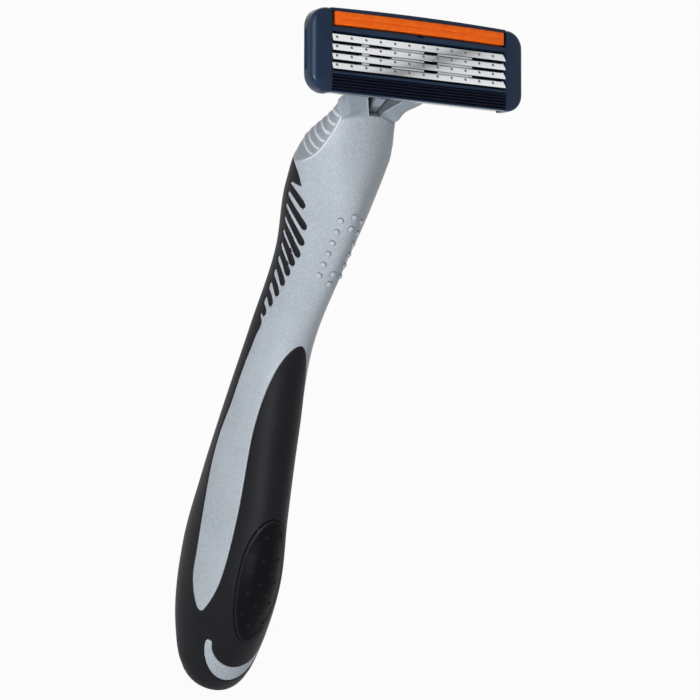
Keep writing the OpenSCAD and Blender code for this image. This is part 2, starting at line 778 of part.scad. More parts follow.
module guard_fins() color([0.06, 0.07, 0.1]) translate(centre) on_face() {
    low = guard_low + pocket_gap;
    high = guard_top - pocket_gap;
    pitch = (high - low) / guard_ribs;
    root = -guard_d / 2;
    back = -guard_d + pocket_gap;
    across(face_half - pocket_gap) polygon(concat(
        [[high, back], [low, back]],
        [for (i = [0:guard_ribs - 1]) let (u = low + pitch * i)
            each [[u + rib_foot * pitch, root], [u + rib_crown * pitch, 0],
                [u + (1 - rib_crown) * pitch, 0], [u + (1 - rib_foot) * pitch, root]]]));
}

// Blades, counted from the top: the edge points down, the strip tilts in towards its back
blade_along = [cos(blade_tilt), -sin(blade_tilt)];
blade_under = [-sin(blade_tilt), -cos(blade_tilt)];
blade_rows = blade_pitch * (blade_count - 1) + blade_w * cos(blade_tilt);
first_edge = (window_top + window_low) / 2 + blade_rows / 2 - blade_w * cos(blade_tilt);
function edge_u(i) = first_edge - blade_pitch * (i - 1);
function leg_u(i) = edge_u(i) + (blade_w * blade_along + blade_t * blade_under)[0];
blade_half = face_half - blade_end_gap;
support_setback = 0.1;
leg_room = 0.15;
leg_low = -window_d + blade_travel + leg_room;

module blade(i) color([0.86, 0.88, 0.9]) translate(centre) on_face() {
    edge = [edge_u(i), 0];
    across(blade_half) polygon([
        edge, edge + blade_w * blade_along, edge + blade_w * blade_along + blade_t * blade_under,
        edge + edge_l * blade_along + blade_t * blade_under]);
}

module blade_support(i) color([0.78, 0.8, 0.83]) translate(centre) on_face() {
    edge = [edge_u(i), 0];
    seat = edge + blade_t * blade_under;
    top = seat + blade_w * blade_along;
    front = seat + (edge_l + support_setback) * blade_along;
    under = front + support_t * blade_under;
    inner_n = under[1] - (leg_u(i) - support_t - under[0]) * tan(blade_tilt);
    across(blade_half) polygon([
        front, top, [leg_u(i), leg_low], [leg_u(i) - support_t, leg_low],
        [leg_u(i) - support_t, inner_n], under]);
    tab_top = -cap_front - 2 * cap_gap;
    across(face_half + tab_l) polygon([
        [leg_u(i), tab_top], [leg_u(i), leg_low], [leg_u(i) - support_t, leg_low],
        [leg_u(i) - support_t, tab_top]]);
}

handle_core();
rubber_grip();
thumb_pad();
pivot_yoke();
return_plunger();
return_spring();
cartridge_base();
left_end_cap();
right_end_cap();
lubricating_strip();
guard_fins();
for (i = [1:blade_count]) {
    blade(i);
    blade_support(i);
}
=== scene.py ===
import json
import math

import bmesh
import bpy
import numpy as np
from mathutils import Matrix, Vector


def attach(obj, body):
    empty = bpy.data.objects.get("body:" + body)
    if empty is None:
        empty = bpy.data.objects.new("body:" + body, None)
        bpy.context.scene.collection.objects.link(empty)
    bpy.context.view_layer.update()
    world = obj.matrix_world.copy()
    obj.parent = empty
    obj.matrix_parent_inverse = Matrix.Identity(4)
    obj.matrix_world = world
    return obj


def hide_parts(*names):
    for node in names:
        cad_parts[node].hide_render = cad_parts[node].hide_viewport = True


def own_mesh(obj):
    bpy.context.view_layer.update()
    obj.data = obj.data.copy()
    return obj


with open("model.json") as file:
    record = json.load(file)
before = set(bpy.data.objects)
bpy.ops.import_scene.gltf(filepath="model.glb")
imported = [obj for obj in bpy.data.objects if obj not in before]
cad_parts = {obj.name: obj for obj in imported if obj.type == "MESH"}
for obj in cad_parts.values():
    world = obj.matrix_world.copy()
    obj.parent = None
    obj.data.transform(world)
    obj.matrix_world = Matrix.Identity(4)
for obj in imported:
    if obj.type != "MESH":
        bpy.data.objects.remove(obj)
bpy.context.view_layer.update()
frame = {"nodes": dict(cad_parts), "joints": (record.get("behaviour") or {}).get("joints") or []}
print("frame loaded:", len(frame["nodes"]), "nodes")

mm = 0.001  # every piece is worked out in millimetres and stored in metres
scene = bpy.context.scene
scene.view_settings.view_transform = "Standard"

# Frames of the razor: the neck leans forward, the face of the cartridge looks up
lean = math.radians(33)
tilt = math.radians(28)
neckUp = np.array([0, -math.sin(lean), math.cos(lean)])
neckBack = np.array([0, math.cos(lean), math.sin(lean)])
faceUp = np.array([0, math.sin(tilt), math.cos(tilt)])
faceOut = np.array([0, -math.cos(tilt), math.sin(tilt)])
sideways = np.array([1.0, 0, 0])
joints = {joint["name"]: joint for joint in frame["joints"]}
pivot = np.array(joints["head_pivot"]["pos_m"]) / mm

yoke = dict(
    reach=12.4, pivotBehind=1.1,              # pivot above the seat and behind the neck line
    shankWide=7.2, shankThick=2.3, shankLong=10, shankFront=0.55, shankRoom=0.05,
    crown=0.63, sag=0.073,                    # the arch of the parting
    rise=1.1, riseFrom=-1.9, riseTo=0.6, riseAside=4.5,   # its sides climb to the back
)
cartridge = dict(
    wide=44.5, high=14.5, deep=4.2, cornerRadius=3.2, capWide=3.9,
    pivotUp=1, pivotBack=2.4,                 # pivot above the middle and behind the back
    rail=0.35, strip=2.5, bar=1.15, guardBar=0.6, guard=2.75, lip=0.4,
    stripDeep=1.6, guardDeep=1.1, floor=0.9, lipDrop=0.3,
)
seat = pivot - yoke["pivotBehind"] * neckBack - yoke["reach"] * neckUp
faceMiddle = pivot - cartridge["pivotUp"] * faceUp + (cartridge["deep"] + cartridge["pivotBack"]) * faceOut


def placed(points, origin, second, third):
    p = np.asarray(points, float)
    return origin + p[:, :1] * sideways + p[:, 1:2] * second + p[:, 2:] * third


def onNeck(points):  # across, behind the neck line, up the lean
    return placed(points, seat, neckBack, neckUp)


def onFace(points):  # across, up the face, out of the face
    return placed(points, faceMiddle, faceUp, faceOut)


def onPivot(points):  # as on the neck, from the pivot's axis
    return placed(points, pivot, neckBack, neckUp)


# Camera, fitted to the cartridge's corners in the photograph
view = dict(azimuth=-32, elevation=-4.201, roll=0.1504, aside=12.585, down=-51.028, away=450, lens=131.34)


def addCamera():
    a, e, r = (math.radians(view[k]) for k in ("azimuth", "elevation", "roll"))
    towards = np.array([math.sin(a) * math.cos(e), math.sin(e), math.cos(a) * math.cos(e)])
    right = np.array([math.cos(a), 0, -math.sin(a)])
    up = np.cross(towards, right)
    turned = np.array([
        math.cos(r) * right + math.sin(r) * up,
        math.sin(r) * right - math.cos(r) * up,
        -towards])
    offset = np.array([view["aside"], view["down"], view["away"]])
    place = onFace([-turned.T @ offset])[0] * mm
    axes = np.array([sideways, faceUp, faceOut])
    world = turned @ axes
    data = bpy.data.cameras.new("photo_camera")
    data.lens = view["lens"]
    data.sensor_width = 36
    data.clip_start = 0.01
    camera = bpy.data.objects.new("photo_camera", data)
    scene.collection.objects.link(camera)
    basis = Matrix(np.column_stack([world[0], -world[1], -world[2]]).tolist()).to_4x4()
    camera.matrix_world = Matrix.Translation(place) @ basis
    scene.camera = camera


addCamera()
print("camera placed")


# Shader helpers and the groups that more than one material uses
def newGroup(name, inputs, outputs):
    group = bpy.data.node_groups.new(name, "ShaderNodeTree")
    for label, value in inputs.items():
        socket = group.interface.new_socket(label, in_out="INPUT", socket_type="NodeSocketFloat")
        socket.default_value = value
    for label in outputs:
        group.interface.new_socket(label, in_out="OUTPUT", socket_type="NodeSocketFloat")
    return group, group.nodes.new("NodeGroupInput"), group.nodes.new("NodeGroupOutput")


def addNode(tree, kind, **values):
    node = tree.nodes.new(kind)
    for key, value in values.items():
        if isinstance(getattr(node, key, None), (str, bool)):
            setattr(node, key, value)
        else:
            node.inputs[key.replace("_", " ")].default_value = value
    return node


def feed(tree, value, socket):  # a link from another socket, or a plain value
    if isinstance(value, bpy.types.NodeSocket):
        tree.links.new(value, socket)
    else:
        socket.default_value = value


def wire(tree, *links):  # each link is a node, its output, a node and its input
    for start, out, end, into in links:
        tree.links.new(start.outputs[out], end.inputs[into])


def calc(tree, operation, first, second, clamp=False):  # a sum on sockets or numbers
    node = addNode(tree, "ShaderNodeMath", operation=operation, use_clamp=clamp)
    feed(tree, first, node.inputs[0])
    feed(tree, second, node.inputs[1])
    return node.outputs["Value"]


def makeMouldedSkin():  # fine moulded texture and slow patches of tone
    group, start, end = newGroup("mouldedSkin", {"Grain": 5000, "Patch": 90}, ["Height", "Patch"])
    coord = addNode(group, "ShaderNodeTexCoord")
    for label, out, detail, rough in (("Grain", "Height", 3, 0.6), ("Patch", "Patch", 2, 0.5)):
        noise = addNode(group, "ShaderNodeTexNoise", Detail=detail, Roughness=rough)
        wire(group, (coord, "Object", noise, "Vector"), (start, label, noise, "Scale"),
             (noise, "Fac", end, out))
    return group


def makeFlakes():  # small bright grains in a paint or a pressed strip
    group, start, end = newGroup("flakes", {"Grain": 6000, "Sparse": 3}, ["Flake"])
    coord = addNode(group, "ShaderNodeTexCoord")
    cells = addNode(group, "ShaderNodeTexVoronoi")
    split = addNode(group, "ShaderNodeSeparateColor")
    wire(group, (coord, "Object", cells, "Vector"), (start, "Grain", cells, "Scale"),
         (cells, "Color", split, "Color"))
    feed(group, calc(group, "POWER", split.outputs["Red"], start.outputs["Sparse"]), end.inputs["Flake"])
    return group


def makePaintedHighlightShade():  # painted highlights over zero and painted shade under it, stored on the mesh
    group, start, end = newGroup("paintedHighlightShade", {"Strength": 1, "Shade": -0.5}, ["PaintedHighlight", "Corner"])
    stored = addNode(group, "ShaderNodeAttribute", attribute_name="rim")
    for label, out in (("Strength", "PaintedHighlight"), ("Shade", "Corner")):
        share = calc(group, "MULTIPLY", stored.outputs["Fac"], start.outputs[label], True)
        feed(group, share, end.inputs[out])
    return group


def makeDrawnLines():  # fine lines left along the cartridge by rolling and grinding
    group, start, end = newGroup("drawnLines", {"Grain": 9000, "Stretch": 0.015}, ["Lines"])
    coord = addNode(group, "ShaderNodeTexCoord")
    split = addNode(group, "ShaderNodeSeparateXYZ")
    join = addNode(group, "ShaderNodeCombineXYZ")
    noise = addNode(group, "ShaderNodeTexNoise", Detail=2, Roughness=0.5)
    feed(group, calc(group, "MULTIPLY", split.outputs["X"], start.outputs["Stretch"]), join.inputs["X"])
    wire(group, (coord, "Object", split, "Vector"), (split, "Y", join, "Y"), (split, "Z", join, "Z"),
         (join, "Vector", noise, "Vector"), (start, "Grain", noise, "Scale"), (noise, "Fac", end, "Lines"))
    return group


groups = dict(skin=makeMouldedSkin(), flakes=makeFlakes(), paintedLight=makePaintedHighlightShade(), lines=makeDrawnLines())


def tone(red, green, blue):  # a colour as it looks on screen, 0 to 255
    def straight(v):
        v /= 255
        return v / 12.92 if v <= 0.04045 else ((v + 0.055) / 1.055) ** 2.4
    return (straight(red), straight(green), straight(blue), 1)


def addGroup(tree, name, **values):
    node = tree.nodes.new("ShaderNodeGroup")
    node.node_tree = groups[name]
    for key, value in values.items():
        node.inputs[key].default_value = value
    return node


def mixColours(tree, factor, first, second):  # colours or sockets, by a factor socket
    node = tree.nodes.new("ShaderNodeMix")
    node.data_type = "RGBA"
    for value, place in ((factor, 0), (first, 6), (second, 7)):
        feed(tree, value, node.inputs[place])
    return node.outputs[2]


def remap(tree, value, low, high, fromLow=0.3, fromHigh=0.7):
    node = addNode(tree, "ShaderNodeMapRange", From_Min=fromLow, From_Max=fromHigh, To_Min=low, To_Max=high)
    feed(tree, value, node.inputs["Value"])
    return node.outputs["Result"]


def startMaterial(name, **sockets):
    material = bpy.data.materials.new(name)
    material.use_nodes = True
    shader = material.node_tree.nodes["Principled BSDF"]
    for key, value in sockets.items():
        shader.inputs[key.replace("_", " ")].default_value = value
    return material, material.node_tree, shader


def addBump(tree, shader, height, distance):
    bump = addNode(tree, "ShaderNodeBump", Distance=distance * mm, Strength=1.0)
    feed(tree, height, bump.inputs["Height"])
    wire(tree, (bump, "Normal", shader, "Normal"))


def mouldedMaterial(name, look):  # paint, plastic or rubber with a moulded skin
    material, tree, shader = startMaterial(name, **look["sockets"])
    skin = addGroup(tree, "skin", Grain=look["grain"], Patch=look["patch"])
    paintedLight = addGroup(tree, "paintedLight", Strength=look["paintedLight"])
    patches = remap(tree, skin.outputs["Patch"], 0, 1)
    colour = mixColours(tree, patches, look["dark"], look["colour"])
    if "flake" in look:
        flakes = addGroup(tree, "flakes", Grain=look["flakeGrain"], Sparse=look["flakeSparse"])
        colour = mixColours(tree, flakes.outputs["Flake"], colour, look["flake"])
    # painted highlights along edges and painted shade in corners, placed by the rim attribute
    colour = mixColours(tree, paintedLight.outputs["PaintedHighlight"], colour, look["edge"])
    colour = mixColours(tree, paintedLight.outputs["Corner"], colour, look["corner"])
    feed(tree, colour, shader.inputs["Base Color"])
    feed(tree, remap(tree, skin.outputs["Height"], *look["rough"]), shader.inputs["Roughness"])
    addBump(tree, shader, skin.outputs["Height"], look["bump"])
    return material


def paintedShadeBand(tree, band):  # mask of a soft slanting band of painted shade across the face
    coord = addNode(tree, "ShaderNodeTexCoord")
    along = addNode(tree, "ShaderNodeVectorMath", operation="DOT_PRODUCT")
    along.inputs[1].default_value = band["way"] / (band["wide"] * mm)
    wire(tree, (coord, "Object", along, 0))
    middle = (float(band["way"] @ faceMiddle) + band["middle"]) / band["wide"]
    away = calc(tree, "SUBTRACT", along.outputs["Value"], middle)
    return calc(tree, "DIVIDE", band["strength"], calc(tree, "ADD", calc(tree, "POWER", away, 2), 1))


def steelMaterial(name, look):  # rolled or ground steel
    material, tree, shader = startMaterial(name, **look["sockets"])
    lines = addGroup(tree, "lines", Grain=look["grain"], Stretch=look["stretch"])
    skin = addGroup(tree, "skin", Grain=look["grain"], Patch=look["patch"])
    streaks = remap(tree, lines.outputs["Lines"], 0, 1)
    colour = mixColours(tree, streaks, look["dark"], look["colour"])
    clouds = remap(tree, skin.outputs["Patch"], 0, 0.35)
    colour = mixColours(tree, clouds, colour, look["dark"])
    # a painted band of shade across the steel
    if "band" in look:
        colour = mixColours(tree, paintedShadeBand(tree, look["band"]), colour, look["band"]["colour"])
    feed(tree, colour, shader.inputs["Base Color"])
    feed(tree, remap(tree, lines.outputs["Lines"], *look["rough"]), shader.inputs["Roughness"])
    addBump(tree, shader, lines.outputs["Lines"], look["bump"])
    return material


# edge and corner are the colours of the painted highlights and the painted shade that the rim attribute
# places
silverPaint = mouldedMaterial("silver_paint", dict(
    colour=tone(168, 176, 184), dark=tone(158, 166, 174), edge=tone(228, 233, 238), corner=tone(70, 76, 83),
    flake=tone(190, 198, 206), flakeGrain=7000, flakeSparse=4,
    grain=5200, patch=110, paintedLight=0.9, rough=(0.38, 0.48), bump=0.016,
    sockets=dict(Metallic=0.05, Specular_IOR_Level=0.25)))
gripRubber = mouldedMaterial("grip_rubber", dict(
    colour=tone(24, 25, 29), dark=tone(21, 22, 26), edge=tone(62, 63, 69), corner=tone(12, 12, 14),
    grain=4200, patch=140, paintedLight=0.6, rough=(0.44, 0.54), bump=0.02,
    sockets=dict(Specular_IOR_Level=0.1)))
padRubber = mouldedMaterial("pad_rubber", dict(
    colour=tone(13, 14, 18), dark=tone(11, 12, 15), edge=tone(52, 54, 61), corner=tone(8, 8, 10),
    grain=5200, patch=150, paintedLight=0.6, rough=(0.3, 0.4), bump=0.012,
    sockets=dict(Specular_IOR_Level=0.06)))
greyPlastic = mouldedMaterial("grey_plastic", dict(
    colour=tone(147, 158, 169), dark=tone(139, 150, 161), edge=tone(222, 227, 232), corner=tone(62, 68, 75),
    flake=tone(166, 175, 185), flakeGrain=7500, flakeSparse=4,
    grain=3800, patch=180, paintedLight=0.9, rough=(0.32, 0.42), bump=0.006,
    sockets=dict(Metallic=0.05, Specular_IOR_Level=0.25)))
navyPlastic = mouldedMaterial("navy_plastic", dict(
    colour=tone(29, 48, 73), dark=tone(24, 42, 65), edge=tone(120, 134, 152), corner=tone(10, 13, 20),
    grain=2600, patch=220, paintedLight=0.6, rough=(0.12, 0.18), bump=0.003,
    sockets=dict(Specular_IOR_Level=0.13)))
guardRubber = mouldedMaterial("guard_rubber", dict(
    colour=tone(19, 23, 43), dark=tone(14, 17, 33), edge=tone(48, 58, 86), corner=tone(5, 6, 11),
    grain=5000, patch=300, paintedLight=0.6, rough=(0.3, 0.4), bump=0.004,
    sockets=dict(Specular_IOR_Level=0.08)))
bladeSteel = steelMaterial("blade_steel", dict(
    colour=tone(240, 241, 242), dark=tone(218, 220, 222), grain=14000, stretch=0.012, patch=260,
    rough=(0.12, 0.22), bump=0.002, sockets=dict(Metallic=1.0),
    # a painted grey band of shade slanting across the blades
    band=dict(way=sideways - 2.65 * faceUp, middle=2.6, wide=4.4, strength=0.8,
              colour=tone(112, 114, 117))))
supportSteel = steelMaterial("support_steel", dict(
    colour=tone(188, 191, 195), dark=tone(160, 164, 169), grain=9000, stretch=0.03, patch=300,
    rough=(0.24, 0.36), bump=0.003, sockets=dict(Metallic=1.0)))
springSteel = steelMaterial("spring_steel", dict(
    colour=tone(196, 198, 202), dark=tone(168, 171, 176), grain=12000, stretch=0.6, patch=400,
    rough=(0.2, 0.32), bump=0.002, sockets=dict(Metallic=1.0)))
weldSteel = steelMaterial("weld_steel", dict(
    colour=tone(138, 140, 144), dark=tone(92, 94, 98), grain=16000, stretch=1.0, patch=900,
    rough=(0.3, 0.5), bump=0.006, sockets=dict(Metallic=0.9)))


def stripMaterial():  # pressed granules of orange lubricant
    material, tree, shader = startMaterial("orange_strip", Subsurface_Weight=0.06, Subsurface_Scale=0.0006,
                                           Specular_IOR_Level=0.2)
    skin = addGroup(tree, "skin", Grain=2600, Patch=420)
    flakes = addGroup(tree, "flakes", Grain=2300, Sparse=2.2)
    patches = remap(tree, skin.outputs["Patch"], 0, 1)
    colour = mixColours(tree, patches, tone(252, 98, 9), tone(255, 108, 16))
    grains = remap(tree, flakes.outputs["Flake"], 0, 0.35, 0, 1)
    colour = mixColours(tree, grains, colour, tone(255, 140, 50))
    feed(tree, colour, shader.inputs["Base Color"])
    feed(tree, remap(tree, skin.outputs["Height"], 0.5, 0.7), shader.inputs["Roughness"])
    addBump(tree, shader, skin.outputs["Height"], 0.06)
    return material


orangeStrip = stripMaterial()
print("materials made:", len(bpy.data.materials))


# Mesh helpers
def addObject(name, mesh, *materials):
    for material in materials:
        mesh.materials.append(material)
    obj = bpy.data.objects.new(name, mesh)
    scene.collection.objects.link(obj)
    return obj


def meshFrom(name, points, faces):
    mesh = bpy.data.meshes.new(name)
    mesh.from_pydata((np.asarray(points) * mm).tolist(), [], faces)
    mesh.validate()
    return mesh


def softEdges(obj, degrees=32):  # smooth shading, with edges sharper than this kept crisp
    bm = bmesh.new()
    bm.from_mesh(obj.data)
    bmesh.ops.triangulate(bm, faces=[face for face in bm.faces if len(face.verts) > 4])
    bmesh.ops.recalc_face_normals(bm, faces=bm.faces[:])
    limit = math.radians(degrees)
    for face in bm.faces:
        face.smooth = True
    for edge in bm.edges:
        edge.smooth = len(edge.link_faces) == 2 and edge.calc_face_angle(0) < limit
    bm.to_mesh(obj.data)
    bm.free()
    return obj


def standFor(obj, body, node):
    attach(obj, body)
    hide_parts(node)


def finishPiece(obj, material, body, node, degrees=32):
    obj.data.materials.append(material)
    softEdges(obj, degrees)
    standFor(obj, body, node)


def storeRim(obj, values):  # painted highlight over zero and painted shade under zero at each point, which the shader group reads
    rim = obj.data.attributes.new("rim", "FLOAT", "POINT")
    rim.data.foreach_set("value", np.asarray(values, np.float32).ravel())


def joinPieces(obj, others):
    bm = bmesh.new()
    for piece in [obj] + others:
        bm.from_mesh(piece.data)
    bm.to_mesh(obj.data)
    bm.free()
    for piece in others:
        bpy.data.objects.remove(piece)
    return obj


def carve(obj, cutter):  # takes the cutter's shape out of the piece
    change = obj.modifiers.new("carve", "BOOLEAN")
    change.operation = "DIFFERENCE"
    change.solver = "EXACT"
    change.object = cutter
    graph = bpy.context.evaluated_depsgraph_get()
    shaped = bpy.data.meshes.new_from_object(obj.evaluated_get(graph))
    obj.modifiers.clear()
    obj.data = shaped
    bpy.data.objects.remove(cutter)
    return obj


def eased(corners, radius, steps=4):  # outline with its corners rounded, by one radius or one each
    points = np.asarray(corners, float)
    radii = np.broadcast_to(radius, len(points))
    out = []
    for i, corner in enumerate(points):
        before, after = points[i - 1] - corner, points[(i + 1) % len(points)] - corner
        reach = min(radii[i], 0.48 * np.linalg.norm(before), 0.48 * np.linalg.norm(after))
        start = corner + before / np.linalg.norm(before) * reach
        end = corner + after / np.linalg.norm(after) * reach
        for t in np.linspace(0, 1, steps + 1):
            out.append((1 - t) ** 2 * start + 2 * t * (1 - t) * corner + t * t * end)
    return np.array(out)


def loftRings(rings):  # closed solid through rings of equal count
    count = len(rings[0])
    points = np.concatenate(rings)
    faces = []
    for k in range(len(rings) - 1):
        for j in range(count):
            a, b = k * count + j, k * count + (j + 1) % count
            faces.append((a, b, b + count, a + count))
    faces.append(tuple(range(count - 1, -1, -1)))
    faces.append(tuple(range((len(rings) - 1) * count, len(rings) * count)))
    return points, faces


def loftObject(name, rings):
    return addObject(name, meshFrom(name, *loftRings(rings)))


def bar(name, outline, half, place, endRound=0.0, bow=None):  # outline (up, out) run along the cartridge
    middle = outline.mean(0)
    xs = np.linspace(-half + endRound, half - endRound, 25 if bow else 2)
    if endRound:
        xs = np.concatenate([[-half], xs, [half]])
    rings = []
    for x in xs:
        drawn = outline + bow(outline, x) if bow else outline
        if endRound and abs(x) == half:
            drawn = middle + (outline - middle) * (1 - endRound / np.ptp(outline, axis=0).max())
        rings.append(place(np.column_stack([np.full(len(drawn), x), drawn])))
    return loftObject(name, rings)


def softBox(name, low, high, place, radius=0.15, segments=2):
    bm = bmesh.new()
    bmesh.ops.create_cube(bm, size=1)
    low, high = np.array(low, float), np.array(high, float)
    for vert in bm.verts:
        vert.co = Vector((low + high) / 2 + np.array(vert.co) * (high - low))
    if radius:
        bmesh.ops.bevel(bm, geom=bm.edges[:], offset=radius, segments=segments, profile=0.5, affect="EDGES")
    for vert in bm.verts:
        vert.co = Vector(place([vert.co[:]])[0] * mm)
    bmesh.ops.recalc_face_normals(bm, faces=bm.faces[:])
    mesh = bpy.data.meshes.new(name)
    bm.to_mesh(mesh)
    bm.free()
    return addObject(name, mesh)


# Handle: one loft from the heel to the seat, its skin cut into silver, rubber and pad
handle = dict(
    heelRound=8.2, heelPower=3.1, heelY=-1.5, widest=0.57, rubberThick=1.2,
    stations=np.array([                       # height, front, back, half width, ridge
        [0, -3.4, 4.8, 6.8, 0],
        [13, -6.8, 13.7, 8.8, 0],
        [25, -8.2, 18.1, 8.7, 0],
        [38, -5.8, 19.2, 7.4, 0],
        [54, -1.6, 17.6, 6.8, 0],
        [72, 1.4, 15.5, 6.0, 0.07],
        [89, -2.5, 13.8, 6.3, 0.28],
        [102, -4.5, 13.8, 8.3, 0.36],
        [112, -3.3, 9.8, 9.1, 0.25],
        [121.1, -2.3, 2.6, 6.7, 0.125],
        [125.1, -1.86, -0.6, 7.6, 0.07],
    ]),
    gauge=8.0, columns=132,                   # sheet width per radian, and its cells
    rows=[(4.6, 74, 0.7), (74, 106, 0.34), (106, 127, 0.24)],
    domeRows=14, domeShare=0.97,
    seam=0.3, silverRound=0.25, rubberRound=0.32, proud=0.08, tuck=0.05,
    seatDrop=0.1, seatRound=0.22, rubberShine=0.5, seamShine=0.35,
    far=6,                                    # distances on the skin are cut off here
    seatCuts=(0, 0.05, 0.12, 0.22),           # the skin is cut along these distances from its edges
    silverCuts=(-0.02, 0, 0.03, 0.09, 0.17, 0.25), rubberCuts=(0, 0.04, 0.11, 0.2, 0.32),
)
grip = dict(
    panelTop=72.7, panelPoint=20.7, panelPart=0.195, panelSpread=8,
    stripePart=0.31, stripeTip=16.3, tipSpread=0.05, tipRound=1.6,
    backEdge=np.array([                       # height, share of the depth
        [16.3, 0.31], [19, 0.41], [21.6, 0.47], [27.2, 0.51], [50, 0.65], [57.5, 0.592], [62.4, 0.575],
        [66, 0.553], [69, 0.526], [71.5, 0.51], [73.6, 0.482], [74.5, 0.484], [75.1, 0.515],
        [75.6, 0.555], [76.3, 0.572], [79, 0.588], [82, 0.603],
    ]),
    rootPart=(0.603, 0.605), rootTop=102, tooth=(3.08, 103.8), toothSlope=-3,
    topRise=2.3, topRound=0.95, topSlope=0.45, topAhead=1.5, topDrop=0.6,
    finFirst=102.45, finPitch=2.33, pitchGain=0.05, finWide=1.52,
    finLong=(5.2, 6.8, 7.2, 6.85, 5.85, 5.1, 4.4, 3.75, 3.0, 2.1),
    finSlope=46.3, slopeLoss=19, lossPower=5, finBow=0.34, gullet=0.5,
    crescentHalf=6.5, crescentTop=12.2, crescentLow=3.4, crescentBand=3.6, crescentTip=0.9,
    crescentRound=0.3, crescentTipRound=0.6,
)
pad = dict(
    middle=26.5, long=26, wide=9.5, gap=0.06, thick=1.0, sunk=0.22, edgeRound=0.25,
    bead=0.06, beadAt=0.5, beadWide=0.22, dish=0.1, dishFrom=0.6, dishOver=1.2,
    shine=0.6, shineAt=0.3, shineWide=0.25, cuts=(0, 0.04, 0.12, 0.25, 0.5, 0.75),
)
fingerRest = dict(
    rim=np.array([                            # height, place behind the neck
        [107.4, 6.6], [108.3, 4.1], [109, 2.95], [110, 1.85], [111, 1.1], [112.5, 0.45], [114.1, 0.07],
        [115.8, -0.22], [117.5, -0.4], [119.1, -0.53], [122.5, -0.6], [126, -0.55],
    ]),
    rimFall=4, aboveRubber=0.2, deep=0.12, crest=0.08, step=0.08, lip=0.5, lipFar=4,
    bead=0.05, beadWide=0.16, shineWide=0.128, fadeLow=107.8, fadeOver=2,
    ribs=7, firstRib=-0.3, ribPitch=1.62, ribWide=0.4, ribPower=1.3, ribFrom=0.1, ribFade=0.4,
    bend=0.56, bendFrom=1.6,                  # the ribs bend beside the rim
    crestShine=0.8, hollowShade=0.9,
    rimCuts=(-0.2, -0.1, 0, 0.1, 0.2, 0.35, 0.5), ribCuts=(-1, -0.5, -0.2, 0, 0.2, 0.5, 1), cutFrom=0.09,
)
halvings = 40  # rounds of each search


def curveThrough(stations, column):  # smooth curve through the stations
    z, v = stations[:, 0], stations[:, column]
    step = np.diff(z)
    secant = np.diff(v) / step
    slope = np.empty_like(v)
    slope[0], slope[-1] = secant[0], secant[-1]
    slope[1:-1] = (secant[:-1] * step[1:] + secant[1:] * step[:-1]) / (step[:-1] + step[1:])

    def at(height):
        height = np.asarray(height, float)
        i = np.clip(np.searchsorted(z, height, side="right") - 1, 0, len(step) - 1)
        t = (height - z[i]) / step[i]
        inside = (v[i] * (1 + 2 * t) * (1 - t) ** 2 + slope[i] * step[i] * t * (1 - t) ** 2
                  + v[i + 1] * t * t * (3 - 2 * t) + slope[i + 1] * step[i] * t * t * (t - 1))
        return np.where(height > z[-1], v[-1] + slope[-1] * (height - z[-1]), inside)
    return at


frontLine, backLine, halfLine, ridgeLine = (curveThrough(handle["stations"], c) for c in (1, 2, 3, 4))
backEdge = curveThrough(grip["backEdge"], 1)
rimLine = curveThrough(fingerRest["rim"], 1)


def restRim(z):  # front edge of the finger rest, steep under its first station
    low = fingerRest["rim"][0, 0]
    return rimLine(np.maximum(z, low)) + fingerRest["rimFall"] * np.maximum(low - z, 0)


def parting(x, behind):  # height of the joint between neck and yoke over the seat
    climb = np.clip(behind, yoke["riseFrom"], yoke["riseTo"]) - yoke["riseFrom"]
    aside = np.minimum(np.abs(x) / yoke["riseAside"], 1) ** 2
    return yoke["crown"] - yoke["sag"] * x * x + yoke["rise"] * climb * aside


def section(z):  # front, back, half width and ridge of the handle at a height
    z = np.maximum(np.asarray(z, float), 0)
    inDome = np.clip(1 - z / handle["heelRound"], 0, 1)
    dome = (1 - inDome ** handle["heelPower"]) ** (1 / handle["heelPower"])
    y = handle["heelY"]
    return y + (frontLine(z) - y) * dome, y + (backLine(z) - y) * dome, halfLine(z) * dome, ridgeLine(z)


def depthAt(z, part):
    front, back, _, _ = section(z)
    return front + part * (back - front)


def skin(angle, z):  # bare surface, angle from the front
    front, back, half, ridge = section(z)
    s, c = -np.cos(angle), np.sin(angle)
    middle = front + handle["widest"] * (back - front)
    x = half * c * np.where(s < 0, 1 - ridge * s * s, 1)
    y = middle + np.where(s < 0, middle - front, back - middle) * s
    return np.stack([x, y + seat[1], z + 0 * angle], -1)


def smoothMax(a, b, blend):
    gap = np.maximum(blend - np.abs(a - b), 0) / blend
    return np.maximum(a, b) + gap * gap * blend / 4


def smoothStep(t):  # eased from 0 to 1
    t = np.clip(t, 0, 1)
    return t * t * (3 - 2 * t)


def unit(vectors):  # straight down where there is no direction
    size = np.linalg.norm(vectors, axis=-1, keepdims=True)
    return np.where(size > 1e-12, vectors / np.maximum(size, 1e-12), [0, 0, -1])


def rootPart(z):  # share of the depth at which the fins leave the back strip
    return np.interp(z, (grip["backEdge"][-1, 0], grip["rootTop"]), grip["rootPart"])


